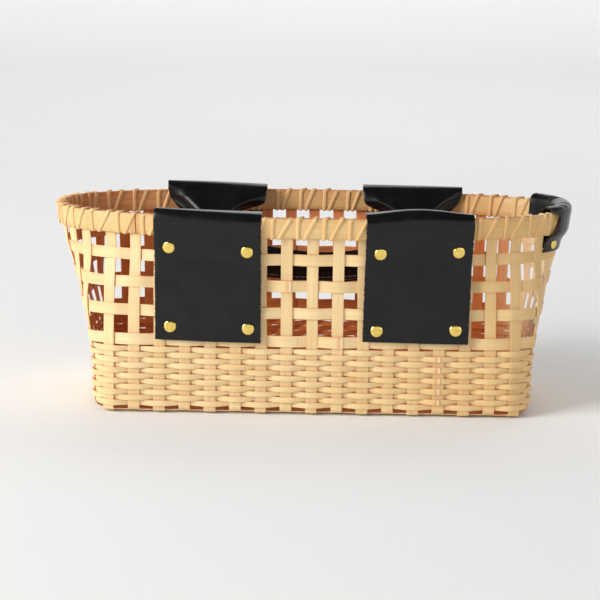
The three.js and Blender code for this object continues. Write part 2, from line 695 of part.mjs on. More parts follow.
for (const { name, centre, looseRivets } of FLAPS) {
  const reach = RIVET_SPACING / 2 / (PITCH * RIM_SPREAD);
  const frames = [];
  for (const height of [RIVET_UPPER, RIVET_LOWER]) {
    for (const side of [-1, 1]) {
      const place = windowPlace(centre + side * reach);
      const frame = { ...wallFrame(place, height), place, height };
      const faceAt = (where, level) => panelPoint(where, level, LEATHER);
      frames.push({ ...frame, seat: reachUnder(frame, RIVET_HEAD_RADIUS, faceAt) });
    }
  }
  let solid = flapSolid(centre);
  if (looseRivets) {
    solid = cutHoles(solid, frames);
    frames.forEach((frame, i) => {
      stand(addMesh(basket, `${name}_rivet_${i + 1}`, rivetGeometry(frame), BRASS), frame);
    });
  } else {
    for (const frame of frames) {
      solid = solid.add(standingSolid(rivetGeometry(frame), frame));
    }
  }
  addMesh(basket, `${name}_flap`, toGeometry(solid), BLACK_LEATHER);
}

// The sleeve wraps the rim round the right end, with its edges drawn in below the hoops.
const SLEEVE_PINCH = STAKE_FACE + CLEARANCE;
const SLEEVE_FIRST = rightStake(0) + STRIP_CLEAR / PITCH;
const SLEEVE_LAST = rightStake(LENGTH_STRIPS - 1) - STRIP_CLEAR / PITCH;
const SLEEVE_BOTTOM = CANE_BOTTOM - SLEEVE_SKIRT;

function sleeveSection(place) {
  const skirt = (side, lift) => [
    rimPoint(place, SLEEVE_BOTTOM, side * (SLEEVE_PINCH + lift)),
    rimPoint(place, CANE_BOTTOM - LEATHER, side * (SLEEVE_PINCH + lift)),
    rimPoint(place, CANE_BOTTOM, side * (LEATHER_SEAT + lift)),
  ];
  const layer = (lift) => [
    ...skirt(1, lift),
    ...FOLD_TURNS.map((turn) => foldPoint(place, turn, lift)),
    ...skirt(-1, lift).reverse(),
  ];
  return [...layer(LEATHER), ...layer(0).reverse()];
}

const sleevePlaces = [SLEEVE_FIRST];
for (let place = rightStake(0) + 0.5; place < SLEEVE_LAST; place++) sleevePlaces.push(place);
sleevePlaces.push(SLEEVE_LAST);
const sleeveRivets = [rightStake(0) + 0.5, rightStake(LENGTH_STRIPS - 1) - 0.5].map((place) => {
  const height = SLEEVE_BOTTOM + SLEEVE_RIVET_RADIUS;
  const frame = { ...wallFrame(place, height), place, height };
  const behind = { ...frame, out: frame.out.clone().negate() };
  const faceAt = (side) => (where, level) => rimPoint(where, level, side * (SLEEVE_PINCH + LEATHER));
  const seat = reachUnder(frame, SLEEVE_RIVET_RADIUS, faceAt(1));
  const backSeat = -reachUnder(behind, SLEEVE_RIVET_RADIUS, faceAt(-1)) - CLEARANCE;
  return { ...frame, seat, backSeat, headRadius: SLEEVE_RIVET_RADIUS, backRadius: SLEEVE_RIVET_RADIUS };
});
const sleeve = cutHoles(toSolid(loft(sleevePlaces.map(sleeveSection))), sleeveRivets);
addMesh(basket, "end_sleeve", toGeometry(sleeve), BLACK_LEATHER);
sleeveRivets.forEach((frame, i) => {
  stand(addMesh(basket, `sleeve_rivet_${i + 1}`, rivetGeometry(frame), BRASS), frame);
});

// Handles hang inside the basket from the rim and swing up about a line along it.
// A handle is made hanging straight down at its hinge, x along the rim and z up.
// Its upper edges are rounded about the hinge line.
const HANDLE_TOP_WIDTH = FLAP_WIDTH - 2 * CLEARANCE;

function handleSection(centre, side, width, thick) {
  const corner = (across, through) =>
    centre.clone().addScaledVector(side, (across * width) / 2).setY((through * thick) / 2);
  const edge = 0.6;
  return [corner(-1, edge), corner(0, 1), corner(1, edge), corner(1, -edge), corner(0, -1), corner(-1, -edge)];
}

// The last section at a leg's upper end. right is 1 on the right leg and -1 on the left.
function handleEnd(right) {
  const centre = new THREE.Vector3(right * FLAP_CENTRE, 0, LEATHER / 4);
  return handleSection(centre, new THREE.Vector3(right, 0, 0), HANDLE_TOP_WIDTH, LEATHER / 2);
}

function handleGeometry() {
  const middle = HANDLE_BAND / 2 - HANDLE_DROP;
  const half = [
    [FLAP_CENTRE, 0],
    [FLAP_CENTRE, -0.24 * HANDLE_DROP],
    [FLAP_CENTRE * 0.93, 0.72 * middle],
    [FLAP_CENTRE * 0.7, 0.92 * middle],
    [FLAP_CENTRE * 0.36, 0.99 * middle],
  ];
  const points = [...half, [0, middle], ...half.toReversed().map(([x, z]) => [-x, z])];
  const path = new THREE.CatmullRomCurve3(points.map(([x, z]) => new THREE.Vector3(x, 0, z)));
  const steps = 24;
  const sections = [handleEnd(1)];
  for (let i = 0; i <= steps; i++) {
    const at = i / steps;
    const centre = path.getPointAt(at);
    const tangent = path.getTangentAt(at);
    const side = new THREE.Vector3(-tangent.z, 0, tangent.x);
    const nearEnd = Math.min(at, 1 - at) * path.getLength();
    const funnel = THREE.MathUtils.clamp(1 - nearEnd / (HANDLE_DROP / 2), 0, 1);
    const width = HANDLE_BAND + (HANDLE_TOP_WIDTH - HANDLE_BAND) * funnel;
    const thick = HANDLE_THICKNESS + (LEATHER - HANDLE_THICKNESS) * funnel;
    sections.push(handleSection(centre, side, width, thick));
  }
  sections.push(handleEnd(-1));
  return loft(sections);
}

for (const { name, facing, lean } of [
  { name: "front_handle", facing: 1, lean: FRONT_LEAN },
  { name: "back_handle", facing: -1, lean: BACK_LEAN },
]) {
  const hinge = new THREE.Group();
  hinge.position.set(0, -facing * HINGE_DEPTH, HINGE_HEIGHT);
  hinge.rotation.set(facing * THREE.MathUtils.degToRad(lean), 0, facing > 0 ? 0 : Math.PI);
  basket.add(hinge);
  addMesh(hinge, name, handleGeometry(), BLACK_LEATHER);
}

export default basket;
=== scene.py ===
"""The looks of a woven bamboo basket bag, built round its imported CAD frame.

Everything is worked out in millimetres, in the row frame, and turned into metres when a mesh is
made. Stakes are the 48 uprights of the wall, counted from 0 at the front's left strip, round by
the right end and the back. A place between two stakes is a number with a fraction.
"""

import math

import bpy
import numpy as np
from mathutils import Matrix, Vector


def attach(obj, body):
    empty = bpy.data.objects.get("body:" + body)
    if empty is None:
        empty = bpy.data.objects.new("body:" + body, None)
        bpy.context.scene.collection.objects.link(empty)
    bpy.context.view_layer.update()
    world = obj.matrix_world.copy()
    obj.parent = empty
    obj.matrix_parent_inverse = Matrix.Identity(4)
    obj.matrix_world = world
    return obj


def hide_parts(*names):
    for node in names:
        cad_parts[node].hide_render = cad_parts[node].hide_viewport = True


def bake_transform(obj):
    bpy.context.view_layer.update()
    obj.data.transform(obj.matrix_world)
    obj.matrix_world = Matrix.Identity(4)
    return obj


MM = 0.001

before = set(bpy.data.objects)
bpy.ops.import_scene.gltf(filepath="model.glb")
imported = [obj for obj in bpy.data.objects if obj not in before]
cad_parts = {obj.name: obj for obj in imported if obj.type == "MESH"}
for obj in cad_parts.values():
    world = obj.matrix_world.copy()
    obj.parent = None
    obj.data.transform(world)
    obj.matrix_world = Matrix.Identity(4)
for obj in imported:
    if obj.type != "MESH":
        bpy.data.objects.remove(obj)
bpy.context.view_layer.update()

# The basket, as in the CAD source.
PITCH = 20.0
CROSS_STRIPS = 17
LENGTH_STRIPS = 7
STRIP_WIDTH = 9.2
STRIP_THICKNESS = 0.8
BASE_WAVE = 1.05
BOTTOM_ROUNDING = 5.5
SIDE_SPARE = 5.6
BASE_CORNER_RADIUS = 18.2
END_FLARE = 32.2
RIM_SHIFT = -2.0
SIDE_FLARE = 2.3
RIM_SQUARENESS = 2.39
RIM_SPREAD = 1.005
CORNER_SHARE = 0.32
HOOP_SLOPE = 0.12
BAND_FOOT = 128.4
WIDE_ROWS = (123.6, 102.9, 81.2, 58.5)
WIDE_ROW_WIDTH = 9.0
NARROW_ROWS = 11
NARROW_TOP = 50.6
RIM_TOP = 157.0
HOOP_HEIGHT = 16.5
HOOP_INNER = 0.7
HOOP_OUTER = 3.3
LEATHER = 1.8
FLAP_CENTRE = 81.8
FLAP_WIDTH = 83.0
HANDLE_DROP = 76.0
HANDLE_BAND = 24.0
HINGE_DEPTH = 58.2825
FRONT_LEAN = math.radians(38)
BACK_LEAN = math.radians(10)
RIVET_SPACING = 61.0
RIVET_UPPER = 131.5
RIVET_LOWER = 69.8
RIVET_RADIUS = 4.8

# Finer measures that only the scene has. The end walls bulge by END_GIVE low and high up. Each
# pair after it says where the bulge grows, fades and begins: a start and the length of the change.
NARROW_ROW_WIDTH = 4.28
NARROW_ROW_PITCH = 4.3
BACK_LIFT = 2.4
END_GIVE = (2.1, 6.0)
GIVE_GROWS = (30.0, 55.0)
GIVE_FADES = (88.0, 40.0)
GIVE_BEGINS = (160.0, 11.0)
SIDE_BEND = 2.8
FOOT_STEP = 0.75
FOOT_LIFT = 0.15
EDGE_STRIP_WIDTH = 7.6
EDGE_STRIP_REACH = 164.0
EDGE_STRIP_TURNS_UP = (156.0, 9.0)

HALF_CROSS = (CROSS_STRIPS - 1) // 2
HALF_LENGTH = (LENGTH_STRIPS - 1) // 2
QUARTER = HALF_CROSS + 1 + HALF_LENGTH
STAKES = 4 * QUARTER
BASE_MIDDLE = STRIP_THICKNESS / 2 + BASE_WAVE
BEND_TOP = BASE_MIDDLE + BOTTOM_ROUNDING
END_BEND = BOTTOM_ROUNDING + 1.5
STRIP_CLEAR = STRIP_WIDTH / 2 + 0.3
BASE_HALF_LENGTH = HALF_CROSS * PITCH + STRIP_CLEAR + BOTTOM_ROUNDING
BASE_HALF_DEPTH = HALF_LENGTH * PITCH + STRIP_CLEAR + SIDE_SPARE + BOTTOM_ROUNDING
RIM_HALF_DEPTH = BASE_HALF_DEPTH + SIDE_FLARE
RIM_BOTTOM = RIM_TOP - HOOP_HEIGHT
FLARE_LEVELS = np.array([BEND_TOP, 53.3, 92.05, BAND_FOOT])
FLARES = np.array([0.0, 0.17, 0.44, 1.0])
FLARE_ENDS = (0.8, 0.55)
STRAIGHT_FRONT = BASE_HALF_LENGTH - BASE_CORNER_RADIUS
STRAIGHT_END = BASE_HALF_DEPTH - BASE_CORNER_RADIUS
CORNER_FROM = math.asin((HALF_CROSS * PITCH - STRAIGHT_FRONT) / BASE_CORNER_RADIUS)
CORNER_TO = math.acos((HALF_LENGTH * PITCH - STRAIGHT_END) / BASE_CORNER_RADIUS)
SAMPLES = 24
CURVE_SAMPLES = 400
UP = np.array([0.0, 0.0, 1.0])


# Curves and chance.
def unit(vectors):
    return vectors / np.linalg.norm(vectors, axis=-1, keepdims=True)


def level(vectors):
    """Directions without their upward part."""
    return unit(vectors * np.array([1, 1, 0]))


def smoothstep(value, start=0.0, length=1.0):
    """0 up to the start, 1 from its length on, and smooth between them."""
    share = np.clip((value - start) / length, 0, 1)
    return share * share * (3 - 2 * share)


def path_lengths(points):
    """How far along a path each of its points lies."""
    return np.concatenate([[0], np.cumsum(np.linalg.norm(np.diff(points, axis=0), axis=1))])


def hermite(t, start, start_slope, end, end_slope):
    """The cubic between two points with given slopes, at the share t of the way."""
    return (
        (2 * t**3 - 3 * t**2 + 1) * start
        + (t**3 - 2 * t**2 + t) * start_slope
        + (3 * t**2 - 2 * t**3) * end
        + (t**3 - t**2) * end_slope
    )


def smooth_rows(rows, per_step):
    """Denser rows along a smooth curve through every column of some rows of points."""
    rows = np.asarray(rows)
    ends = np.concatenate([[2 * rows[0] - rows[1]], rows, [2 * rows[-1] - rows[-2]]])
    gaps = np.sqrt(np.linalg.norm(np.diff(ends, axis=0), axis=-1, keepdims=True)) + 1e-6
    made = []
    for i in range(len(ends) - 3):
        p0, p1, p2, p3 = ends[i : i + 4]
        d1, d2, d3 = gaps[i : i + 3]
        leaving = ((p1 - p0) / d1 - (p2 - p0) / (d1 + d2) + (p2 - p1) / d2) * d2
        coming = ((p2 - p1) / d2 - (p3 - p1) / (d2 + d3) + (p3 - p2) / d3) * d2
        made += [hermite(t, p1, leaving, p2, coming) for t in np.arange(per_step) / per_step]
    return np.array([*made, rows[-1]])


def seeded(name):
    """A random generator that depends only on a piece's name."""
    return np.random.default_rng(sum((i + 1) * ord(c) for i, c in enumerate(name)))


def wobble(rng, at, size, waves):
    """A slow random wave along a strip."""
    total = 0.0 * np.asarray(at)
    for frequency in waves:
        total += np.sin(2 * math.pi * frequency * at + rng.uniform(0, 2 * math.pi)) * rng.uniform(0.5, 1)
    return size * total / len(waves)


# The wall's middle surface.
def base_point(place):
    """A point on a quarter of the base outline. Its place is counted from the middle stake."""
    x, y = place * PITCH, (QUARTER - place) * PITCH
    if x <= STRAIGHT_FRONT:
        return x, BASE_HALF_DEPTH
    if y <= STRAIGHT_END:
        return BASE_HALF_LENGTH, y
    if place <= HALF_CROSS:
        turn = math.asin((x - STRAIGHT_FRONT) / BASE_CORNER_RADIUS)
    elif place >= HALF_CROSS + 1:
        turn = math.acos((y - STRAIGHT_END) / BASE_CORNER_RADIUS)
    else:
        turn = CORNER_FROM + (place - HALF_CROSS) * (CORNER_TO - CORNER_FROM)
    return (
        STRAIGHT_FRONT + BASE_CORNER_RADIUS * math.sin(turn),
        STRAIGHT_END + BASE_CORNER_RADIUS * math.cos(turn),
    )


def rim_quarter(half_length):
    """The rim's quarter as a function of the place on it and of how far it is moved inwards."""
    power = RIM_SQUARENESS
    halves = np.array([half_length, RIM_HALF_DEPTH])

    def depth_at(x):
        return RIM_HALF_DEPTH * np.maximum(0, 1 - (x / half_length) ** power) ** (1 / power)

    corner = math.acos(HALF_CROSS * PITCH * RIM_SPREAD / half_length)
    xs = half_length * np.cos(corner * (1 - np.linspace(0, 1, CURVE_SAMPLES)))
    curve = np.stack([xs, depth_at(xs)], -1)
    lengths = path_lengths(curve)

    def point(place, inset):
        if place <= HALF_CROSS:
            x = place * PITCH * RIM_SPREAD
            at = np.array([x, depth_at(x)])
        else:
            share = np.interp(place, (HALF_CROSS, HALF_CROSS + 1, QUARTER), (0, CORNER_SHARE, 1))
            at = np.array([np.interp(share * lengths[-1], lengths, curve[:, k]) for k in (0, 1)])
        return at - inset * unit((at / halves) ** (power - 1) / halves)

    return point


rim_right = rim_quarter(BASE_HALF_LENGTH + END_FLARE + RIM_SHIFT)
rim_left = rim_quarter(BASE_HALF_LENGTH + END_FLARE - RIM_SHIFT)


def outline_table(inset):
    """The closed outline at evenly spaced places: the base's, or the rim's moved inwards."""
    points = []
    for i in range(STAKES * SAMPLES):
        turn = (i / SAMPLES - HALF_CROSS) % STAKES
        right = turn <= 2 * QUARTER
        front = turn <= QUARTER or turn >= 3 * QUARTER
        half = turn if right else STAKES - turn
        place = half if half <= QUARTER else 2 * QUARTER - half
        if inset is None:
            x, y = base_point(place)
        else:
            x, y = (rim_right if right else rim_left)(place, inset)
        points.append((x if right else -x, -y if front else y))
    return np.array(points)


BASE_OUTLINE = outline_table(None)
BAND_OUTLINE = outline_table((RIM_TOP - BAND_FOOT) * HOOP_SLOPE)
RIM_OUTLINE = outline_table(0.0)


def smooth_flare(height):
    """The share of the way from the base outline to the band's foot, without kinks."""
    steps = np.diff(FLARE_LEVELS)
    slopes = np.diff(FLARES) / steps
    between = 2 / (1 / slopes[:-1] + 1 / slopes[1:])
    tangents = np.array([slopes[0] * FLARE_ENDS[0], *between, slopes[-1] * FLARE_ENDS[1]])
    h = np.clip(height, FLARE_LEVELS[0], FLARE_LEVELS[-1])
    i = np.clip(np.searchsorted(FLARE_LEVELS, h, side="right") - 1, 0, len(steps) - 1)
    t = (h - FLARE_LEVELS[i]) / steps[i]
    return hermite(t, FLARES[i], steps[i] * tangents[i], FLARES[i + 1], steps[i] * tangents[i + 1])


def look_up(table, place):
    low, part = np.divmod((place % STAKES) * SAMPLES, 1)
    low, part = low.astype(int) % len(table), part[..., None]
    return table[low] * (1 - part) + table[(low + 1) % len(table)] * part


def wall(place, height):
    """Points of the wall's middle surface, for arrays of places and heights."""
    place, height = np.broadcast_arrays(np.asarray(place, float), np.asarray(height, float))
    flare = smooth_flare(height)[..., None]
    low = look_up(BASE_OUTLINE, place) * (1 - flare) + look_up(BAND_OUTLINE, place) * flare
    share = np.clip((height - BAND_FOOT) / (RIM_TOP - BAND_FOOT), 0, 1.4)[..., None]
    flat = low * (1 - share) + look_up(RIM_OUTLINE, place) * share
    low_give, high_give = END_GIVE
    give = low_give + (high_give - low_give) * smoothstep(height, *GIVE_GROWS)
    give = give * (1 - smoothstep(height, *GIVE_FADES)) * smoothstep(np.abs(flat[..., 0]), *GIVE_BEGINS)
    flat[..., 0] += np.sign(flat[..., 0]) * give
    return np.concatenate([flat, height[..., None]], axis=-1)


def wall_frame(place, height, aside=0.1, up=0.8):
    """Points of the wall, with the directions along the rows and outwards."""
    along = unit(wall(place + aside, height) - wall(place - aside, height))
    foot = np.maximum(height, BEND_TOP)
    rise = unit(wall(place, foot + up) - wall(place, np.maximum(foot - up, BEND_TOP)))
    return wall(place, height), along, unit(np.cross(along, rise))


# Meshes.
UV_UNIT = 100.0
SMOOTH_BELOW = 35


def signed_volume(rings, closed):
    """What a tube of rings encloses, times six, and negative where its faces look inwards."""
    rings = rings - rings.mean((0, 1))
    a = rings if closed else rings[:-1]
    d = np.roll(rings, -1, axis=0) if closed else rings[1:]
    b, c = np.roll(a, -1, axis=1), np.roll(d, -1, axis=1)
    return np.einsum("ijk,ijk->", a, np.cross(b, c) + np.cross(c, d))


def new_object(name, points, faces, material, smooth_degrees=SMOOTH_BELOW):
    mesh = bpy.data.meshes.new(name)
    mesh.from_pydata((np.asarray(points) * MM).tolist(), [], faces)
    mesh.validate()
    mesh.shade_smooth()
    mesh.set_sharp_from_angle(angle=math.radians(smooth_degrees))
    mesh.materials.append(material)
    obj = bpy.data.objects.new(name, mesh)
    bpy.context.scene.collection.objects.link(obj)
    return obj


def tube(
    name, rings, material, smooth_degrees=SMOOTH_BELOW, closed=False, lengths=None, pith=0.0, tone=0.5,
    fresh=0.0,
):
    """A closed tube through rings of points. Its UVs are along and across, in UV_UNIT. The corner
    attribute "finish" holds pith (0 skin side, 1 inner side), tone, and fresh on a fresh cut."""
    rings = np.asarray(rings, float)
    count, size = rings.shape[:2]
    flip = signed_volume(rings, closed) < 0
    if lengths is None:
        lengths = path_lengths(rings.mean(1))
    if closed:
        wrap = np.linalg.norm(rings[0].mean(0) - rings[-1].mean(0))
        lengths = np.append(lengths, lengths[-1] + wrap)
    around = path_lengths(np.concatenate([rings[0], rings[0, :1]]))
    pith = np.broadcast_to(pith, (count, size))
    fresh = np.broadcast_to(fresh, count)
    faces, uvs, finish = [], [], []
    for i in range(count if closed else count - 1):
        j = (i + 1) % count
        for k in range(size):
            m = (k + 1) % size
            corners = [(i, k, i, k), (i, m, i, k + 1), (j, m, i + 1, k + 1), (j, k, i + 1, k)]
            if flip:
                corners.reverse()
            faces.append([a * size + b for a, b, _, _ in corners])
            uvs += [(lengths[u] / UV_UNIT, around[v] / UV_UNIT) for _, _, u, v in corners]
            finish += [(pith[a][b], tone, fresh[a], 1.0) for a, b, _, _ in corners]
    if not closed:
        for ring, turned_over in ((0, not flip), (count - 1, flip)):
            order = list(range(size))[:: -1 if turned_over else 1]
            faces.append([ring * size + k for k in order])
            uvs += [(lengths[ring] / UV_UNIT, around[k] / UV_UNIT) for k in order]
            finish += [(0.5, tone, fresh[ring], 1.0)] * size
    obj = new_object(name, rings.reshape(-1, 3), faces, material, smooth_degrees)
    mesh = obj.data
    mesh.uv_layers.new(name="UVMap").data.foreach_set("uv", np.array(uvs, np.float32).ravel())
    layer = mesh.color_attributes.new(name="finish", type="FLOAT_COLOR", domain="CORNER")
    layer.data.foreach_set("color", np.array(finish, np.float32).ravel())
    return obj


def dress(obj, slot, *nodes, body="basket"):
    """Says which body a piece rides on and hides the CAD nodes it stands for. The slot is not used."""
    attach(obj, body)
    if nodes:
        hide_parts(*nodes)


# Materials.
def linear(*screen):
    """A colour given as screen values from 0 to 255."""
    value = np.array(screen) / 255
    curve = np.where(value <= 0.04045, value / 12.92, ((value + 0.055) / 1.055) ** 2.4)
    return tuple(curve.tolist())


class Nodes:
    """Short ways to add nodes to a material."""

    def __init__(self, tree):
        self.tree = tree

    def feed(self, node, inputs):
        """Gives a node's sockets a constant or another node's output each."""
        for key, value in inputs.items():
            socket = node.inputs[key]
            if isinstance(value, bpy.types.NodeSocket):
                self.tree.links.new(value, socket)
            elif hasattr(value, "__len__") and len(value) < len(socket.default_value):
                socket.default_value = (*value, 1)
            else:
                socket.default_value = value
        return node

    def add(self, kind, inputs, **settings):
        node = self.tree.nodes.new(kind)
        for key, value in settings.items():
            setattr(node, key, value)
        return self.feed(node, inputs)

    def object_place(self):
        return self.add("ShaderNodeTexCoord", {}).outputs["Object"]

    def parts(self, source, kind="ShaderNodeSeparateXYZ"):
        return self.add(kind, {0: source}).outputs

    def finish(self):
        """Pith, tone and fresh, as tube writes them."""
        layer = self.add("ShaderNodeVertexColor", {}, layer_name="finish")
        return self.parts(layer.outputs["Color"], "ShaderNodeSeparateColor")

    def math(self, operation, a, b=0.0, clamp=False):
        return self.add("ShaderNodeMath", {0: a, 1: b}, operation=operation, use_clamp=clamp).outputs[0]

    def weighted(self, a, share, b):
        """A share of one value with the rest of another."""
        return self.math("ADD", self.math("MULTIPLY", a, share), self.math("MULTIPLY", b, 1 - share))

    def mapped(self, vector, scale):
        return self.add("ShaderNodeMapping", {"Vector": vector, "Scale": scale}).outputs[0]

    def noise(self, vector, scale, detail, roughness):
        inputs = {"Vector": vector, "Scale": scale, "Detail": detail, "Roughness": roughness}
        return self.add("ShaderNodeTexNoise", inputs).outputs["Fac"]

    def spread(self, value, low, high, to_low=0.0, to_high=1.0):
        inputs = {"Value": value, "From Min": low, "From Max": high, "To Min": to_low, "To Max": to_high}
        return self.add("ShaderNodeMapRange", inputs).outputs[0]

    def mix(self, share, a, b):
        return self.add("ShaderNodeMix", {0: share, 6: a, 7: b}, data_type="RGBA").outputs[2]

    def bump(self, height, strength, distance):
        inputs = {"Strength": strength, "Distance": distance, "Height": height}
        return self.add("ShaderNodeBump", inputs).outputs["Normal"]


def material(name, inputs):
    """A material, its nodes and its shader, whose sockets start with constants."""
    made = bpy.data.materials.new(name)
    made.use_nodes = True
    n = Nodes(made.node_tree)
    return made, n, n.feed(made.node_tree.nodes["Principled BSDF"], inputs)


# Painted light and shade: the right end is browner outside, painted shade where the lamp reaches it less, and
# paler inside, painted light where the lamp falls on it.
END_SHADE_BROWN = linear(216, 162, 84)
END_LIT_PALE = linear(255, 240, 196)
RING_BROWN = linear(170, 116, 64)
FRESH_CUT = linear(255, 240, 206)
RING_WIDTH = 0.0022


def bamboo_material(name, colors, roughness, ring_every):
    """Split bamboo: fibres run along the strip, the inner side is redder, partly its own colour and
    partly painted shade of the basket's inside, and now and then a faint brown ring crosses the
    strip where the cane had a joint. The colours are the skin's light and dark and the inner
    side's light and dark, which hold that painted shade too."""
    light, dark, pith_and_shade_light, pith_and_shade_dark = (linear(*color) for color in colors)
    made, n, shader = material(name, {"Specular IOR Level": 0.42})
    pith, tone, fresh = n.finish()
    place = n.object_place()
    to_right = n.parts(place)[0]
    apart = n.add("ShaderNodeCombineXYZ", {"Z": n.math("MULTIPLY", tone, 37.0)})
    uv = n.add("ShaderNodeUVMap", {}, uv_map="UVMap")
    moved = n.add("ShaderNodeVectorMath", {0: uv.outputs[0], 1: apart.outputs[0]}, operation="ADD")
    along = moved.outputs[0]
    fibres = n.noise(n.mapped(along, (3.0, 150.0, 1.0)), 1.0, 4.0, 0.6)
    coarse = n.noise(n.mapped(along, (1.2, 34.0, 1.0)), 1.0, 2.0, 0.5)
    cloud = n.noise(place, 26.0, 3.0, 0.5)
    share = n.spread(n.weighted(fibres, 0.5, coarse), 0.35, 0.66)
    skin = n.mix(n.math("MULTIPLY", share, 0.5), light, dark)
    skin = n.mix(n.spread(tone, 0.0, 1.0, 0.0, 0.34), skin, dark)
    skin = n.mix(n.spread(cloud, 0.46, 0.72, 0.0, 0.3), skin, dark)
    # Painted shade: the outer skin turns browner towards the right end.
    skin = n.mix(n.spread(to_right, 0.0, 0.22, 0.0, 0.5), skin, END_SHADE_BROWN)
    # Painted shade: the inner side's red-brown stands partly for the shade inside the basket.
    inner = n.mix(share, pith_and_shade_light, pith_and_shade_dark)
    # Painted light: the inner side turns paler at the right end, where the lamp falls on it.
    inner = n.mix(n.spread(to_right, 0.15, 0.19, 0.0, 0.95), inner, END_LIT_PALE)
    turns = n.math("ADD", n.parts(along)[0], n.math("MULTIPLY", tone, 11.0))
    turn = n.math("FRACT", n.math("DIVIDE", turns, ring_every))
    off_ring = n.spread(n.math("ABSOLUTE", n.math("SUBTRACT", turn, 0.5)), 0.0, RING_WIDTH)
    ring = n.math("MAXIMUM", n.math("SUBTRACT", 1.0, off_ring), 0.0)
    ring = n.math("MULTIPLY", ring, n.spread(coarse, 0.42, 0.6), clamp=True)
    skin = n.mix(n.math("MULTIPLY", ring, 0.4), skin, RING_BROWN)
    skin = n.mix(fresh, skin, FRESH_CUT)
    n.feed(shader, {
        "Base Color": n.mix(pith, skin, inner),
        "Roughness": n.spread(fibres, 0.3, 0.7, roughness - 0.08, roughness + 0.12),
        "Normal": n.bump(n.weighted(fibres, 0.6, coarse), 0.35, 0.0003),
    })
    return made


# Each set's last two colours are the inner side's: partly its own redder colour, partly painted shade of the
# basket's inside.
STRIP_COLORS = ((250, 227, 178), (224, 180, 114), (240, 153, 90), (212, 110, 54))
HOOP_COLORS = ((240, 211, 155), (212, 162, 90), (206, 132, 70), (184, 102, 48))
CANE_COLORS = ((246, 210, 150), (220, 168, 104), (204, 132, 76), (176, 100, 52))
BAMBOO = bamboo_material("bamboo", STRIP_COLORS, 0.5, 2.9)
HOOP_BAMBOO = bamboo_material("hoop_bamboo", HOOP_COLORS, 0.44, 5.2)
CANE = bamboo_material("cane", CANE_COLORS, 0.36, 7.3)


def leather_material():
    """Smooth black leather, with a fine grain, slight changes of gloss and raw cut edges."""
    made, n, shader = material("black_leather", {"Specular IOR Level": 0.34})
    place = n.object_place()
    grain = n.noise(place, 2600.0, 2.0, 0.6)
    pores = n.add("ShaderNodeTexVoronoi", {"Vector": place, "Scale": 900.0}, feature="DISTANCE_TO_EDGE")
    cells = n.spread(pores.outputs["Distance"], 0.0, 0.25)
    cloud = n.noise(place, 60.0, 3.0, 0.5)
    nicks = n.spread(n.noise(place, 900.0, 1.0, 0.5), 0.5, 0.62)
    skin = n.mix(n.spread(cloud, 0.35, 0.7), linear(12, 12, 13), linear(18, 18, 19))
    n.feed(shader, {
        "Base Color": n.mix(n.math("MULTIPLY", n.finish()[0], nicks), skin, linear(128, 96, 70)),
        "Roughness": n.spread(n.weighted(cloud, 0.5, grain), 0.3, 0.7, 0.19, 0.3),
        "Normal": n.bump(n.weighted(cells, 0.6, grain), 0.12, 0.0002),
    })
    return made


def brass_material():
    """Polished brass, a little uneven and with faint scratches."""
    made, n, shader = material("brass", {"Metallic": 1.0})
    place = n.object_place()
    scratches = n.noise(n.mapped(place, (900.0, 900.0, 5200.0)), 1.0, 3.0, 0.6)
    cloud = n.spread(n.noise(place, 420.0, 2.0, 0.5), 0.35, 0.7)
    n.feed(shader, {
        "Base Color": n.mix(cloud, linear(252, 226, 130), linear(242, 204, 100)),
        "Roughness": n.spread(scratches, 0.35, 0.7, 0.06, 0.13),
        "Normal": n.bump(scratches, 0.03, 0.00005),
    })
    return made


def thread_material():
    """Waxed thread, with its twist, whose lighter and darker bands are painted shade in its grooves."""
    made, n, shader = material("thread", {"Roughness": 0.5})
    waves = {"Vector": n.object_place(), "Scale": 900.0}
    twist = n.add("ShaderNodeTexWave", waves, wave_type="BANDS", bands_direction="DIAGONAL").outputs["Fac"]
    n.feed(shader, {
        # Painted shade: the twist's grooves are darker.
        "Base Color": n.mix(twist, linear(140, 139, 140), linear(205, 203, 203)),
        "Normal": n.bump(twist, 0.3, 0.0002),
    })
    return made


LEATHER_BLACK = leather_material()
BRASS = brass_material()
THREAD = thread_material()

# Strips, and how much pith each corner of their section shows, and of the edge strips' section.
STRIP_PITH = np.array([0, 0, 0, 0, 0.15, 0.6, 0.9, 1, 1, 0.9, 0.6, 0.15])
EDGE_PITH = np.array([0, 0, 0, 0, 0, 0.05, 0.1, 0.8, 1, 0.8, 0.1, 0.05])
STAKE_STEP = 2.4
BASE_STEP = 2.5
ROW_REACH = 14.0
ROW_PRESS = 0.22
FEET_FROM = (64.5, 3.0)


def strip_section(width, thickness, crown, bevel=0.16):
    """A flat strip's section as corners across and through it, for arrays of widths."""
    values = (np.atleast_1d(np.asarray(value, float)) for value in (width, thickness, crown))
    width, thickness, crown = np.broadcast_arrays(*values)
    w, t = width / 2, thickness / 2
    edge = w - bevel
    corners = [
        (-edge, t), (-w / 2, t + 0.75 * crown), (0 * w, t + crown), (w / 2, t + 0.75 * crown), (edge, t),
        (w, t - bevel), (w, bevel - t), (edge, -t), (0 * w, -t), (-edge, -t), (-w, bevel - t),
        (-w, t - bevel),
    ]
    return np.stack([np.stack(corner, -1) for corner in corners], 1)


def strip_rings(points, across, out, section):
    return points[:, None] + section[..., :1] * across[:, None] + section[..., 1:] * out[:, None]


def on_side(stake):
    """Whether a stake stands in the front or the back and not in an end."""
    return stake < CROSS_STRIPS or QUARTER * 2 <= stake < QUARTER * 2 + CROSS_STRIPS


def foot_shift(stake):
    """Feet of the front and the back pass over and under the edge strip in turn."""
    if not on_side(stake):
        return 0.0
    return FOOT_LIFT + (FOOT_STEP if stake % 2 else -FOOT_STEP)


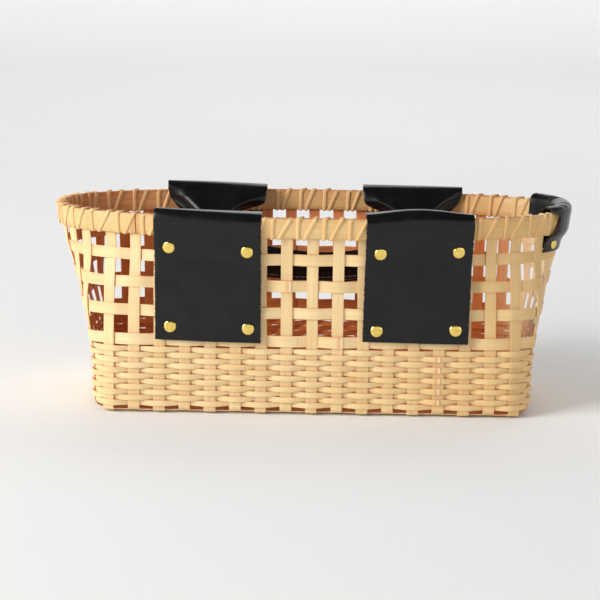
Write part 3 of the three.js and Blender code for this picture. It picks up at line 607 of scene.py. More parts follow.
def stake_path(stake, rng):
    """One strip end's middle line, from the rim down to the level of the base."""
    bend = SIDE_BEND if on_side(stake) else END_BEND
    bend_top = BASE_MIDDLE + foot_shift(stake) + bend
    heights = np.concatenate([np.arange(RIM_TOP - 0.6, bend_top, -STAKE_STEP), [bend_top]])
    drift = wobble(rng, heights / 150, 0.022, (0.6, 1.3)) * np.clip((heights - BEND_TOP) / 30, 0, 1)
    points, along, out = wall_frame(stake + drift, heights)
    for row, height in enumerate(WIDE_ROWS):
        press = (-1) ** (stake + row) * ROW_PRESS * smoothstep(1 - np.abs(heights - height) / ROW_REACH)
        points = points - out * press[:, None]
    foot = points[-1]
    outward = level(out[-1])
    axis = 1 if on_side(stake) else 0
    last = np.zeros(3)
    last[axis] = np.sign(outward[axis])
    bend_points, bend_along, bend_out = [], [], []
    for turn in np.radians(np.linspace(0, 90, 8)[1:]):
        share = turn / (math.pi / 2)
        way = unit(outward * (1 - share) + last * share)
        bend_points.append(foot - outward * bend * (1 - math.cos(turn)) - UP * bend * math.sin(turn))
        bend_along.append(np.cross(UP, way))
        bend_out.append(way * math.cos(turn) - UP * math.sin(turn))
    return [np.vstack(pair) for pair in ((points, bend_points), (along, bend_along), (out, bend_out))]


def strip(name, first_stake, last_stake, axis, side_place, wave_sign):
    """A strip from rim to rim: down a wall at one stake, under the base and up the far wall."""
    rng = seeded(name)
    start = stake_path(first_stake, rng)
    end = stake_path(last_stake, rng)
    low, high = start[0][-1][axis], end[0][-1][axis]
    at = np.linspace(low, high, int(abs(high - low) / BASE_STEP))[1:-1]
    reach = (HALF_LENGTH if axis == 1 else HALF_CROSS) * PITCH
    fade = np.clip((reach + 10 - np.abs(at)) / 6, 0, 1)
    base = np.zeros((len(at), 3))
    base[:, axis] = at
    base[:, 1 - axis] = side_place
    base[:, 2] = BASE_MIDDLE + wave_sign * BASE_WAVE * np.cos(math.pi * (at + reach) / PITCH) * fade
    feet = np.where(at < 0, foot_shift(first_stake), foot_shift(last_stake))
    base[:, 2] += feet * smoothstep(np.abs(at), *FEET_FROM)
    points = np.vstack([start[0], base, end[0][::-1]])
    across = np.vstack([start[1], np.tile(start[1][-1], (len(at), 1)), -end[1][::-1]])
    out = np.vstack([start[2], np.tile(-UP, (len(at), 1)), end[2][::-1]])
    lengths = path_lengths(points)
    width = STRIP_WIDTH + rng.uniform(-0.3, 0.35) + wobble(rng, lengths / 170, 0.22, (1.0, 2.3))
    rings = strip_rings(points, across, out, strip_section(width, STRIP_THICKNESS, 0.07))
    return tube(name, rings, BAMBOO, lengths=lengths, pith=STRIP_PITH, tone=rng.uniform(0.05, 0.95))


for cross in range(CROSS_STRIPS):
    node = f"cross_strip_{cross + 1}"
    far_stake = 2 * QUARTER + CROSS_STRIPS - 1 - cross
    obj = strip(f"bamboo_{node}", cross, far_stake, 1, (cross - HALF_CROSS) * PITCH, 1 if cross % 2 else -1)
    dress(obj, "bamboo", node)
for length in range(LENGTH_STRIPS):
    node = f"length_strip_{length + 1}"
    left_stake, right_stake = STAKES - 1 - length, CROSS_STRIPS + length
    y = (length - HALF_LENGTH) * PITCH
    obj = strip(f"bamboo_{node}", left_stake, right_stake, 0, y, -1 if length % 2 else 1)
    dress(obj, "bamboo", node)


def edge_strip(name, side):
    """A strip along a long edge of the base, on top of the cross strips. Its ends turn up."""
    rng = seeded(name)
    xs = np.linspace(-EDGE_STRIP_REACH, EDGE_STRIP_REACH, 150)
    y = side * (BASE_HALF_DEPTH - SIDE_BEND - EDGE_STRIP_WIDTH / 2 + 0.3)
    heights = BASE_MIDDLE + FOOT_LIFT + 0.04 * np.sin(xs / 9)
    heights = heights + 4 * smoothstep(np.abs(xs), *EDGE_STRIP_TURNS_UP)
    points = np.stack([xs, np.full_like(xs, y), heights], -1)
    across, out = (np.tile(way, (len(xs), 1)) for way in ([0.0, -1.0, 0.0], -UP))
    width = EDGE_STRIP_WIDTH + wobble(rng, xs / 160, 0.15, (1.0, 2.3))
    rings = strip_rings(points, across, out, strip_section(width, STRIP_THICKNESS, 0.05))
    return tube(name, rings, BAMBOO, pith=EDGE_PITH, tone=0.3)


for word, side in (("front", -1), ("back", 1)):
    dress(edge_strip(f"bamboo_edge_strip_{word}", side), "bamboo")

# Weavers. Each is a strip whose two ends lap for about one stake. The outer end is scraped thin.
LAP = 1.1
SCRAPED_END = np.array([0.26, 0.22, 0.17, 0.1, 0.06, 0.05, 0.0])
BASE_CORNERS = (16.5, 23.5, 40.5, 47.5)
WIDE_WAVE = 1.32
NARROW_WAVE = 1.7
WIDE_JOINTS = (31.2, 7.16, 34.2, 9.2)
NARROW_JOINTS = (36.2, 13.04)
LAP_LIFT = 0.86
LAP_TUCK = 0.12
CORNER_PUSH = 0.4

# How far a row strays up and down, how much its width strays, and how much wider it is outside a
# stake than inside one.
WIDE_STRAY = (0.4, 0.25, 0.0)
NARROW_STRAY = (0.28, 0.12, 0.42)


def weaver(name, height, width, crown, wave, side, joint):
    """One row, which passes outside the even stakes where side is 1."""
    rng = seeded(name)
    stray, width_stray, wider = WIDE_STRAY if width == WIDE_ROW_WIDTH else NARROW_STRAY
    end = joint + STAKES
    places = np.append(np.arange(joint - LAP, end - 0.3, 1 / 12), end - SCRAPED_END)
    phase = np.cos(math.pi * places) * side
    to_back = (1 - np.cos(2 * math.pi * (places - HALF_CROSS) / STAKES)) / 2
    heights = height + wobble(rng, places / STAKES, stray, (2, 5, 9))
    heights = heights + BACK_LIFT * to_back**2 * smoothstep(height, NARROW_TOP, 70)
    off_corners = [(places - at + STAKES / 2) % STAKES - STAKES / 2 for at in BASE_CORNERS]
    corner = sum(np.exp(-((off / 0.5) ** 2)) for off in off_corners)
    low_share = np.clip(1 - (height - BEND_TOP) / 110, 0.25, 1)
    at_end = smoothstep(np.abs(wall(places, height)[:, 0]), 150, 20)
    out_by = wave * (1 - 0.3 * at_end) * np.sign(phase) * np.abs(phase) ** 0.9
    out_by = out_by + CORNER_PUSH * corner * low_share
    out_by = out_by + LAP_LIFT * smoothstep(places, end - LAP - 0.1, 0.3)
    out_by = out_by - LAP_TUCK * np.clip((joint - 0.05 - places) / 0.3, 0, 1)
    scraped = np.clip((places - (end - 0.22)) / 0.05, 0, 1)
    scraped[-2:] = 0
    fresh = np.zeros(len(places))
    fresh[-3:] = 0.5
    points, along, out = wall_frame(places, heights)
    widths = width + wider * phase + wobble(rng, places / STAKES, width_stray, (3, 7))
    section = strip_section(widths, STRIP_THICKNESS - 0.25 * scraped, crown * (1 - scraped))
    rings = strip_rings(points + out * out_by[:, None], np.cross(out, along), out, section)
    pith = np.tile(STRIP_PITH, (len(places), 1))
    pith[:, :5] = np.maximum(pith[:, :5], 0.36 * scraped[:, None])
    tone = rng.uniform(0.05, 0.95)
    return tube(name, rings, BAMBOO, lengths=path_lengths(points), pith=pith, tone=tone, fresh=fresh)


for row, (height, joint) in enumerate(zip(WIDE_ROWS, WIDE_JOINTS)):
    node = f"wide_weaver_{row + 1}"
    obj = weaver(f"bamboo_{node}", height, WIDE_ROW_WIDTH, 0.1, WIDE_WAVE, (-1) ** row, joint)
    dress(obj, "bamboo", node)
for row in range(NARROW_ROWS):
    node = f"narrow_weaver_{row + 1}"
    height = NARROW_TOP - row * NARROW_ROW_PITCH
    joint = NARROW_JOINTS[row % 2]
    obj = weaver(f"bamboo_{node}", height, NARROW_ROW_WIDTH, 0.2, NARROW_WAVE, (-1) ** row, joint)
    dress(obj, "bamboo", node)

# Rim hoops. The outer faces bulge by HOOP_BULGES near their edges and in the middle. How much
# # of the redder inner colour a hoop shows depends on how far to the right a point of it lies, at
# # HOOP_SHADE_AT: on the inner hoop this is painted shade, heaviest at the left, away from the lamp.
HOOP_BEVEL = 0.7
HOOP_BULGES = (0.22, 0.3)
HOOP_SHADE_AT = (-200, -120, 0, 200)
HOOPS = (("outer", 1, 1.1, (0, 0, 0, 0)), ("inner", -1, 26.4, (0.95, 0.6, 0.38, 0.1)))


def hoop(name, sign, joint, painted_shade_as_pith):
    """A hoop on the outside (sign 1) or the inside of the strips, cut at its joint."""
    rng = seeded(name)
    places = np.append(np.arange(joint + 0.03, joint + STAKES - 0.01, 1 / 12), joint + STAKES - 0.01)
    face = sign * HOOP_OUTER
    bevelled = face - sign * HOOP_BEVEL
    crowned, crest = (face + sign * bulge for bulge in HOOP_BULGES)
    section = [
        (bevelled, RIM_BOTTOM), (face, RIM_BOTTOM + HOOP_BEVEL), (crowned, RIM_BOTTOM + 5),
        (crest, (RIM_BOTTOM + RIM_TOP) / 2), (crowned, RIM_TOP - 5), (face, RIM_TOP - HOOP_BEVEL),
        (bevelled, RIM_TOP), (sign * HOOP_INNER, RIM_TOP), (sign * HOOP_INNER, RIM_BOTTOM),
    ]
    drop = wobble(rng, places / STAKES, 0.3, (2, 3, 7))
    rings = []
    for out_by, height in section:
        points, _, out = wall_frame(places, height)
        rings.append(points + level(out) * out_by + UP * drop[:, None])
    # Painted shade: the inner hoop shows more of its redder inner colour the further left it lies, away from
    # the lamp.
    shown = np.interp(wall(places, RIM_TOP)[:, 0], HOOP_SHADE_AT, painted_shade_as_pith)
    ends = np.minimum(places - joint, joint + STAKES - places)
    # Painted shade: the hoop turns redder near its cut ends, for the dark slits of the lap.
    pith = np.array([0.2, 0, 0, 0, 0, 0.2, 0.5, 1, 0.5]) + (shown + 0.4 * (ends < 0.16))[:, None]
    return tube(name, np.stack(rings, 1), HOOP_BAMBOO, 50, pith=np.clip(pith, 0, 1), tone=0.35)


for word, sign, joint, painted_shade_as_pith in HOOPS:
    dress(hoop(f"bamboo_{word}_hoop", sign, joint, painted_shade_as_pith), "bamboo", f"{word}_rim_hoop")

# The cane lashing. Places are in millimetres from the middle of a gap between two stakes. In each
# gap an upright turn and a slanting one start and end their legs at CANE_STATIONS, front and back
# in turn, and CANE_LEANS says how much each of these follows the gap's own lean.
CANE_SEAT = 3.55
CANE_WIDTH = 3.5
CANE_HEIGHT = 1.05
CANE_CORNER = 0.75
CANE_SQUARENESS = 0.45
CANE_STATIONS = np.array([-2.0, -1.8, 1.6, 2.0, 3.4, 11.0, 12.2, 17.6, 18.0])
CANE_LEANS = np.array([0, 0.4, 0, 0, 0, 1, 1, 0, 0])
CANE_LOW = RIM_BOTTOM + 0.9
CANE_HIGH = RIM_TOP - 0.5
CANE_HIGH_UNDER_FLAP = RIM_TOP - 1.6
UNDER_FLAP = (1.4, 6.8)


def lashing_turns():
    """The strand's middle line as place, distance out, height and the way its face looks."""
    rng = seeded("lashing")
    line = []

    def leg(start, end, sign, high):
        first, last = (CANE_LOW, high) if sign > 0 else (high, CANE_LOW)
        facing = 0.0 if sign > 0 else math.pi
        for share in np.linspace(0, 1, 6):
            height = first + share * (last - first)
            line.append((start + share * (end - start), sign * CANE_SEAT, height, facing))

    def corner(start, end, sign, height):
        for turn in np.radians(np.arange(25, 180, 26)):
            out_by = CANE_SEAT * np.sign(math.cos(turn)) * abs(math.cos(turn)) ** CANE_SQUARENESS
            up = CANE_CORNER * abs(math.sin(turn)) ** CANE_SQUARENESS
            facing = turn if sign > 0 else turn + math.pi
            place = start + turn / math.pi * (end - start)
            line.append((place, sign * out_by, height + sign * up, facing))

    for gap in range(STAKES):
        from_middle = min(abs(gap + 0.5 - HALF_CROSS), abs(gap + 0.5 - HALF_CROSS - 2 * QUARTER))
        high = CANE_HIGH_UNDER_FLAP if UNDER_FLAP[0] < from_middle < UNDER_FLAP[1] else CANE_HIGH
        shift = gap * PITCH + rng.uniform(-0.35, 0.35)
        stations = shift + CANE_STATIONS + rng.uniform(-0.5, 0.5) * CANE_LEANS
        for i, sign in enumerate((1, -1, 1, -1)):
            start, end, after = stations[2 * i : 2 * i + 3]
            leg(start, end, sign, high)
            corner(end, after, sign, high if sign > 0 else CANE_LOW)
    return np.array(line)


def lashing(name):
    line = lashing_turns()
    points, along, out = wall_frame(line[:, 0] / PITCH + 0.5, line[:, 2])
    middle = points + level(out) * line[:, 1:2]
    facing = level(out) * np.cos(line[:, 3:4]) + UP * np.sin(line[:, 3:4])
    tangent = unit(np.roll(middle, -1, axis=0) - np.roll(middle, 1, axis=0))
    facing = unit(facing - tangent * np.einsum("ij,ij->i", facing, tangent)[:, None])
    turns = np.radians(np.linspace(0, 180, 8))
    section = np.stack([np.cos(turns) * CANE_WIDTH / 2, np.sin(turns) ** 0.8 * CANE_HEIGHT], -1)
    rings = strip_rings(middle, np.cross(tangent, facing), facing, section[None])
    # Painted shade: the strand's inner legs show more of the redder inner colour towards the left end, away
    # from the lamp.
    inside = (line[:, 1] < 0) * np.interp(middle[:, 0], (-200, -80), (0.7, 0.15))
    pith = np.maximum([0.25, 0, 0, 0, 0, 0, 0.25, 1], inside[:, None])
    return tube(name, rings, CANE, 60, closed=True, pith=pith, tone=0.4)


dress(lashing("cane_lashing"), "cane", "rim_lashing")

# Leather. A sheet is a grid of points on its middle, with a thickness.
COLUMNS = np.concatenate([[-1], np.linspace(-0.991, 0.991, 65), [1]])
PANEL_ROWS = 33
PANEL_TOP = 0.92
ARCH_TURNS = np.radians([0, 14, 28, 42, 56, 70, 84, 98, 112, 126, 140])
ARCH_FOOT = 151.0
ARCH_CREST = 0.42
ARCH_POWER = 0.86
LEAN_ABOUT = 108.0
SEAT_HEIGHTS = (60, 92.05, 139, RIM_TOP)
SEATS = (3.5, 3.5, 5.3, 5.5)
EDGE_DRAWN_IN = 0.3
EDGE_JAG = 0.17


def sheet(name, grid, facing, raw_rows=1.0):
    """A leather sheet. Its outer columns are drawn in a little, which rounds the cut edges."""
    normals = unit(np.cross(np.gradient(grid, axis=0), np.gradient(grid, axis=1)))
    if normals[0, grid.shape[1] // 2] @ facing < 0:
        normals = -normals
    half = np.full(grid.shape[:2], LEATHER / 2)
    half[:, [0, -1]] -= EDGE_DRAWN_IN
    front = grid + normals * half[..., None]
    back = grid - normals * half[..., None]
    rings = np.concatenate([front, back[:, ::-1]], axis=1)
    raw = np.zeros(rings.shape[:2])
    raw[:, [0, grid.shape[1] - 1, grid.shape[1], -1]] = np.reshape(raw_rows, (-1, 1))
    return tube(name, rings, LEATHER_BLACK, 50, pith=raw)


def panel_seat(height):
    """How far the panel's inner face lies outside the wall's middle surface."""
    return np.interp(height, SEAT_HEIGHTS, SEATS)


class Flap:
    """One flap: its side (-1 front, 1 back), its middle's X, how far its crest rises at the left,
    the middle and the right, its lean, the heights of its bottom corners, and its rivets. A trough
    is a soft fold between two points, with a depth and a width."""

    def __init__(self, side, x, rises, lean, bottoms, rivets, troughs, seed):
        self.side, self.x, self.rises, self.lean = side, x, rises, lean
        self.bottoms, self.rivets, self.troughs = bottoms, rivets, troughs
        self.waves = np.random.default_rng(seed).uniform((-1, -1, 0), (1, 1, 6.28), (4, 3))

    def place(self, x):
        along = x / (PITCH * RIM_SPREAD)
        return HALF_CROSS + along if self.side < 0 else 2 * QUARTER + HALF_CROSS - along

    def trough(self, x, height, start, end, depth, width):
        (x0, z0), (x1, z1) = start, end
        length = math.hypot(x1 - x0, z1 - z0)
        share = ((x - x0) * (x1 - x0) + (height - z0) * (z1 - z0)) / length**2
        off = ((x - x0) * (z1 - z0) - (height - z0) * (x1 - x0)) / length
        within = smoothstep(share * 4 + 0.5) * smoothstep(4.5 - share * 4)
        return depth * np.exp(-((off / width) ** 2)) * within

    def ripple(self, x, height):
        """The leather's slight waves, which die out at the rivets."""
        lift = 0.35
        for i, (a, b, phase) in enumerate(self.waves):
            across = (x - self.x) * 0.055 * a * (1 + i * 0.4)
            lift = lift + 0.3 * np.sin(across + height * 0.075 * b * (1 + i * 0.3) + phase)
        for trough in self.troughs:
            lift = lift - self.trough(x, height, *trough)
        near = 1.0
        for rivet_x, rivet_height in self.rivets:
            near = near * (1 - np.exp(-((x - rivet_x) ** 2 + (height - rivet_height) ** 2) / 90))
        return lift * near * smoothstep((RIM_BOTTOM + 4 - height) / 18) - 0.25 * (1 - near)

    def row(self, columns, share_up):
        """Points across the panel. share_up is 0 at the bottom edge and 1 at the rim's top."""
        bottom = np.interp(columns, (-1, 1), self.bottoms)
        height = bottom + share_up * (RIM_TOP - bottom)
        x = self.x + columns * FLAP_WIDTH / 2 + self.lean * (height - LEAN_ABOUT)
        points, _, out = wall_frame(self.place(x), height)
        lift = panel_seat(height) + LEATHER / 2 + self.ripple(x, height)
        return points + out * lift[:, None]

    def arch_row(self, columns, turn):
        """Points across the leather where it arches over the rim, from outside to the hinge."""
        straight_x = self.x + columns * FLAP_WIDTH / 2
        x = straight_x + self.lean * (ARCH_FOOT - LEAN_ABOUT)
        points, _, out = wall_frame(self.place(x), ARCH_FOOT)
        foot = points + level(out) * (panel_seat(ARCH_FOOT) + LEATHER / 2)
        hinge = np.stack([straight_x, np.full_like(x, self.side * HINGE_DEPTH)], -1)
        left, middle, right = self.rises
        crest = RIM_TOP + LEATHER / 2 + left + (columns + 1) / 2 * (right - left)
        crest = crest + (middle - (left + right) / 2) * np.cos(columns * math.pi / 2) ** 1.5
        sweep = abs(math.cos(turn)) ** ARCH_POWER
        if turn < math.pi / 2:
            share, start = ARCH_CREST * (1 - sweep), ARCH_FOOT
        else:
            share, start = ARCH_CREST + (1 - ARCH_CREST) * sweep, RIM_TOP
        height = start + (crest - start) * math.sin(turn) ** ARCH_POWER
        return np.concatenate([foot[:, :2] * (1 - share) + hinge * share, height[:, None]], axis=-1)

    def rows(self, columns):
        panel = [self.row(columns, share) for share in np.linspace(0, PANEL_TOP, PANEL_ROWS)]
        return panel + [self.arch_row(columns, turn) for turn in ARCH_TURNS]


# A handle's middle line in its own plane, from a flap to the middle, and how its sheet folds.
BAND_LINE = HANDLE_BAND / 2 - HANDLE_DROP
HANDLE_SHARES = [(1, 0), (1, 0.285), (0.92, 0.69), (0.68, 0.88), (0.34, 0.97), (0, 1)]
HANDLE_STEP = 2.2
FOLD_LENGTH = 40.0
FOLD_RADIUS = 2.1
FOLD_OPENS = 13.0
FOLD_LEAD = 5.0
WING_REACH = 9.0
ROOT_GAP = 2.5
ROOT_SAG = 0.8
ROOT_SAG_AT = 14.0

# How far a draped tongue stands off the straight line to the handle, by distance below the hinge.
DRAPE = smooth_rows(
    [(0, 0), (8, 4.6), (16, 8.8), (24, 11), (36, 10.5), (50, 6.5), (64, 2), (76, 0), (90, 0)], 8
)


def handle_path(drop, sway):
    """The whole middle line, the way across it, and how far along it each point lies."""
    half = [(-x * FLAP_CENTRE, z * BAND_LINE * drop) for x, z in HANDLE_SHARES]
    dense = smooth_rows(half + [(-x, z) for x, z in reversed(half[:-1])], 24)
    lengths = path_lengths(dense)
    at = np.linspace(0, lengths[-1], int(lengths[-1] / HANDLE_STEP))
    path = np.stack([np.interp(at, lengths, dense[:, k]) for k in (0, 1)], -1)
    path[:, 0] += sway * (1 - (path[:, 0] / FLAP_CENTRE) ** 2)
    tangent = unit(np.gradient(path, axis=0))
    return path, np.stack([-tangent[:, 1], tangent[:, 0]], -1), at


def folded_row(past):
    """Half of the folding: where the columns lie across and behind, this far past its start."""
    share = np.clip(past / FOLD_LENGTH, 0, 1)
    front_half = np.interp(past, (0, 24, 29, 34), (39.5, 14.6, 12.4, HANDLE_BAND / 2))
    sheet_half = np.interp(past, (0, 25, FOLD_LENGTH), (41.4, 40.6, 26.2))
    angle = math.pi * share**1.5
    radius = FOLD_RADIUS + FOLD_OPENS * (1 - share)
    start = front_half - radius * math.sin(min(angle, math.pi / 2))
    arc = np.abs(COLUMNS) * sheet_half
    around = np.clip((arc - start) / radius, 0, angle)
    rest = np.clip(arc - start - radius * angle, 0, None)
    across = np.minimum(arc, start) + radius * np.sin(around) + rest * math.cos(angle)
    behind = radius * (1 - np.cos(around)) + rest * math.sin(angle)
    behind = WING_REACH * np.tanh(behind / WING_REACH)
    return np.sign(COLUMNS) * across, -behind + FOLD_RADIUS * share


class HandlePlane:
    """The plane that a handle hangs in, and its middle line there."""

    def __init__(self, side, lean, drop, sway, drape):
        self.side = side
        self.drape = drape
        self.hinge = np.array([0, side * HINGE_DEPTH, RIM_TOP])
        self.up = np.array([0, side * math.sin(lean), math.cos(lean)])
        self.facing = np.array([0, -side * math.cos(lean), math.sin(lean)])
        self.path, self.sides, self.at = handle_path(drop, sway)

    def point(self, x, z, off):
        """Points of the plane, moved off it on the side that faces the basket's middle."""
        off = off + self.drape * np.interp(-np.asarray(z), DRAPE[:, 0], DRAPE[:, 1])
        return self.hinge + np.outer(x, (1, 0, 0)) + np.outer(z, self.up) + np.outer(off, self.facing)

    def rows(self):
        made = []
        for (x, z), (side_x, side_z), length in zip(self.path, self.sides, self.at):
            depth = min(length, self.at[-1] - length)
            if depth < ROOT_GAP:
                continue
            across, off = folded_row(depth + FOLD_LEAD)
            near_root = smoothstep(1 - abs(depth - ROOT_SAG_AT) / ROOT_SAG_AT)
            off = off - ROOT_SAG * np.cos(COLUMNS * math.pi / 2) * near_root
            made.append(self.point(x + side_x * across, z + side_z * across, off))
        return made


def leather_pair(name, flaps, plane):
    """Two flaps and the handle that they carry, as one sheet of leather."""
    left, right = flaps
    band = plane.rows()
    head = smooth_rows([*left.rows(COLUMNS), *band[:2]], 3)
    tail = smooth_rows([*band[-2:], *right.rows(-COLUMNS)[::-1]], 3)
    rows = np.concatenate([head, np.array(band[2:-2]), tail])
    on_panel = np.ones(len(rows))
    on_panel[3 * PANEL_ROWS : -3 * PANEL_ROWS] = 0
    rng = np.random.default_rng(plane.side + 5)
    jag = EDGE_JAG * rng.standard_t(4, (len(rows), 2)).clip(-3, 3) * on_panel[:, None]
    rows[:, 0] += unit(rows[:, 0] - rows[:, 2]) * jag[:, :1]
    rows[:, -1] += unit(rows[:, -1] - rows[:, -3]) * jag[:, 1:]
    return sheet(name, rows, np.array([0.0, plane.side, 0.0]), on_panel)


PLANES = {
    "front": HandlePlane(-1, FRONT_LEAN, drop=1.0, sway=0.0, drape=0.0),
    "back": HandlePlane(1, BACK_LEAN, drop=0.97, sway=7.0, drape=1.0),
}
FRONT_LEFT_TROUGHS = [((-107, 125), (-56, 122), 0.5, 3.5), ((-109, 108), (-86, 80), 0.7, 6.0)]
FRONT_LEFT_RIVETS = [(-111.9, 132.6), (-51.1, 131.0), (-111.4, 69.9), (-50.2, 69.4)]
FRONT_RIGHT_RIVETS = [(52.1, 131.0), (112.6, 132.0), (50.6, 69.3), (112.4, 70.0)]
BACK_RIVETS = [
    [(side * FLAP_CENTRE + s * RIVET_SPACING / 2, h) for h in (RIVET_UPPER, RIVET_LOWER) for s in (-1, 1)]
    for side in (-1, 1)
]
FLAPS = {
    "front": (
        Flap(-1, -FLAP_CENTRE, (3.2, 2.0, 0.9), 0.0, (59.2, 58.0), FRONT_LEFT_RIVETS, FRONT_LEFT_TROUGHS, 3),
        Flap(-1, FLAP_CENTRE, (1.8, 5.4, 1.6), 0.015, (60.4, 58.9), FRONT_RIGHT_RIVETS, [], 4),
    ),
    "back": (
        Flap(1, -FLAP_CENTRE, (6.4, 5.2, 3.4), 0.0, (60.6, 59.6), BACK_RIVETS[0], [], 5),
        Flap(1, FLAP_CENTRE, (4.2, 4.2, 4.2), 0.0, (60.0, 60.8), BACK_RIVETS[1], [], 6),
    ),
}

for word, plane in PLANES.items():
    obj = leather_pair(f"leather_{word}", FLAPS[word], plane)
    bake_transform(obj)
    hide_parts(f"{word}_left_flap", f"{word}_right_flap", f"{word}_handle")

# Rivets: a domed cap outside, and a washer with a smaller cap inside.
WALL_SEAT = 2.9
WASHER_RADIUS = 7.0
CAP_HEIGHT = 2.0
POST_RADIUS = 1.5
INNER_CAP = (3.6, 1.2)
PLATE = 0.8


def turned(profile, point, direction, steps=36):
    """A solid of revolution as rings round its axis, standing on a point."""
    direction = unit(np.asarray(direction, float))
    helper = np.array([1.0, 0, 0]) if abs(direction[0]) < 0.8 else UP
    first = unit(np.cross(direction, helper))
    second = np.cross(direction, first)
    angles = np.linspace(0, 2 * math.pi, steps, endpoint=False)
    circle = np.outer(np.cos(angles), first) + np.outer(np.sin(angles), second)
    return np.array([point + direction * height + circle * radius for radius, height in profile])


def cap_profile(radius, height):
    """From the middle of the dome out to its rim and back underneath."""
    turns = np.radians(np.linspace(2, 84, 12))
    dome = [(radius * math.sin(a), height * (0.32 + 0.68 * math.cos(a) ** 1.1)) for a in turns]
    under = [(radius * 0.95, -0.04), (radius * 0.5, -0.04)]
    return [*dome, (radius, height * 0.3), (radius, height * 0.06), *under]


def rivet(name, point, out, seat, back_seat, radius=RIVET_RADIUS, height=CAP_HEIGHT, washer=WASHER_RADIUS):
    """A rivet with its cap this far outside the wall's middle surface and its washer inside it."""
    outer = [(r, seat + h) for r, h in cap_profile(radius, height)]
    post = [(POST_RADIUS, seat - 0.04), (POST_RADIUS, -back_seat)]
    plate = [(washer - 0.3, -back_seat), (washer, -back_seat - 0.3), (washer - 0.2, -back_seat - PLATE)]
    inner_cap = [(r, -back_seat - PLATE - h) for r, h in reversed(cap_profile(*INNER_CAP))]
    return tube(name, turned([*outer, *post, *plate, *inner_cap], point, out), BRASS, 40)


for word, flaps in FLAPS.items():
    for hand, flap in zip(("left", "right"), flaps):
        for i, (x, height) in enumerate(flap.rivets):
            point, _, out = wall_frame(flap.place(x), height)
            seat = float(panel_seat(height)) + LEATHER - 0.25
            nodes = [f"front_{hand}_rivet_{i + 1}"] if word == "front" else []
            obj = rivet(f"rivet_{word}_{hand}_{i + 1}", point, out, seat, WALL_SEAT)
            dress(obj, "brass", *nodes)

# Stitching along each handle's outer edge, on both faces. Each stitch sinks in at its ends.
STITCH_PITCH = 4.2
STITCH_LENGTH = 3.7
STITCH_RADIUS = 0.36
STITCH_INSET = 5.4
STITCH_START = 42.0
STITCH_SIDES = 6
BAND_FACE = FOLD_RADIUS + LEATHER / 2


def stitches(name, plane, face):
    rng = seeded(name)
    line = plane.path - plane.sides * (HANDLE_BAND / 2 - STITCH_INSET)
    lengths = path_lengths(line)
    start = np.interp(STITCH_START, plane.at, lengths)
    shares = np.linspace(-0.5, 0.5, 7)
    thick = STITCH_RADIUS * (1 - np.abs(2 * shares) ** 4 * 0.6)
    lift = BAND_FACE + 0.3 - 0.55 * np.abs(2 * shares) ** 3
    turns = np.arange(STITCH_SIDES) * 2 * math.pi / STITCH_SIDES
    ring = [(a, (a + 1) % STITCH_SIDES) for a in range(STITCH_SIDES)]
    points, faces = [], []
    for i in range(int((lengths[-1] - 2 * start) / STITCH_PITCH)):
        places = start + (i + 0.5) * STITCH_PITCH + shares * STITCH_LENGTH
        both = np.concatenate([line, plane.sides], axis=1)
        at = np.stack([np.interp(places, lengths, column) for column in both.T], -1)
        middle, side = at[:, :2], at[:, 2:]
        middle = middle + side * (rng.uniform(-0.12, 0.12) * shares * STITCH_LENGTH)[:, None]
        first = len(points)
        for k in range(len(shares)):
            aside = middle[k] + np.outer(np.cos(turns) * thick[k], side[k])
            points += list(plane.point(aside[:, 0], aside[:, 1], face * (lift[k] + thick[k] * np.sin(turns))))
        for low in range(first, len(points) - STITCH_SIDES, STITCH_SIDES):
            high = low + STITCH_SIDES
            faces += [[low + a, low + b, high + b, high + a] for a, b in ring]
        faces.append([first + a for a, _ in reversed(ring)])
        faces.append([len(points) - STITCH_SIDES + a for a, _ in ring])
    if face < 0:
        faces = [corners[::-1] for corners in faces]
    return new_object(name, points, faces, THREAD, 60)


for word, plane in PLANES.items():
    for face_word, face in (("inner", 1), ("outer", -1)):
        thread = stitches(f"stitching_{word}_handle_{face_word}", plane, face)
        dress(thread, "black_leather", body=f"{word}_handle")

# The sleeve round the rim's right end. Columns run from its outer hem over the rim to its inner
# edge, and rows follow the rim. A crease is a place, a depth and a width.
SLEEVE_HEM = 126.0
SLEEVE_OUTSIDE = [
    (1.65, SLEEVE_HEM), (1.65, SLEEVE_HEM + 3), (2.0, 132), (3.2, 135.5), (5.0, 138.6), (6.1, 141.5),
    (6.3, 145), (6.3, 150), (6.4, 155),
]
SLEEVE_CREASES = [
    (20.9, 0.9, 0.05), (21.15, 1.1, 0.06), (21.45, 0.9, 0.05), (19.2, 0.5, 0.08), (18.4, 0.4, 0.1),
]
SLEEVE_START = 17.32
SLEEVE_END = 22.8
SLEEVE_NOTCH = 0.6
SLEEVE_ROWS = 110
SLEEVE_RIVETS = (17.98, 22.5)
SLEEVE_RIVET_UP = 6.3
SLEEVE_RIVET = {"seat": 2.6, "back_seat": 2.6, "radius": 3.8, "height": 1.8, "washer": 3.6}


def sleeve(name):
    turns = np.radians(np.arange(20, 180, 20))
    over = [(6.4 * math.cos(turn), RIM_TOP + 5 * math.sin(turn) ** 0.8) for turn in turns]
    inside = [(-out_by, height) for out_by, height in reversed(SLEEVE_OUTSIDE[1:])]
    dense = smooth_rows([*SLEEVE_OUTSIDE, *over, *inside], 3)
    share = np.linspace(0, 1, len(dense))
    top = np.exp(-(((share - 0.5) / 0.2) ** 2))
    start = SLEEVE_START + SLEEVE_NOTCH * smoothstep(share, 0.17, 0.05) * smoothstep((0.42 - share) / 0.1)
    grid = []
    for part in np.linspace(0, 1, SLEEVE_ROWS + 1):
        places = start + part * (SLEEVE_END - start)
        fold = sum(depth * np.exp(-(((places - at) / width) ** 2)) for at, depth, width in SLEEVE_CREASES)
        points, _, out = wall_frame(places, dense[:, 1] - fold * top)
        grid.append(points + level(out) * (dense[:, 0] * (1 - 0.06 * fold))[:, None])
    return sheet(name, np.array(grid), level(out[0]))


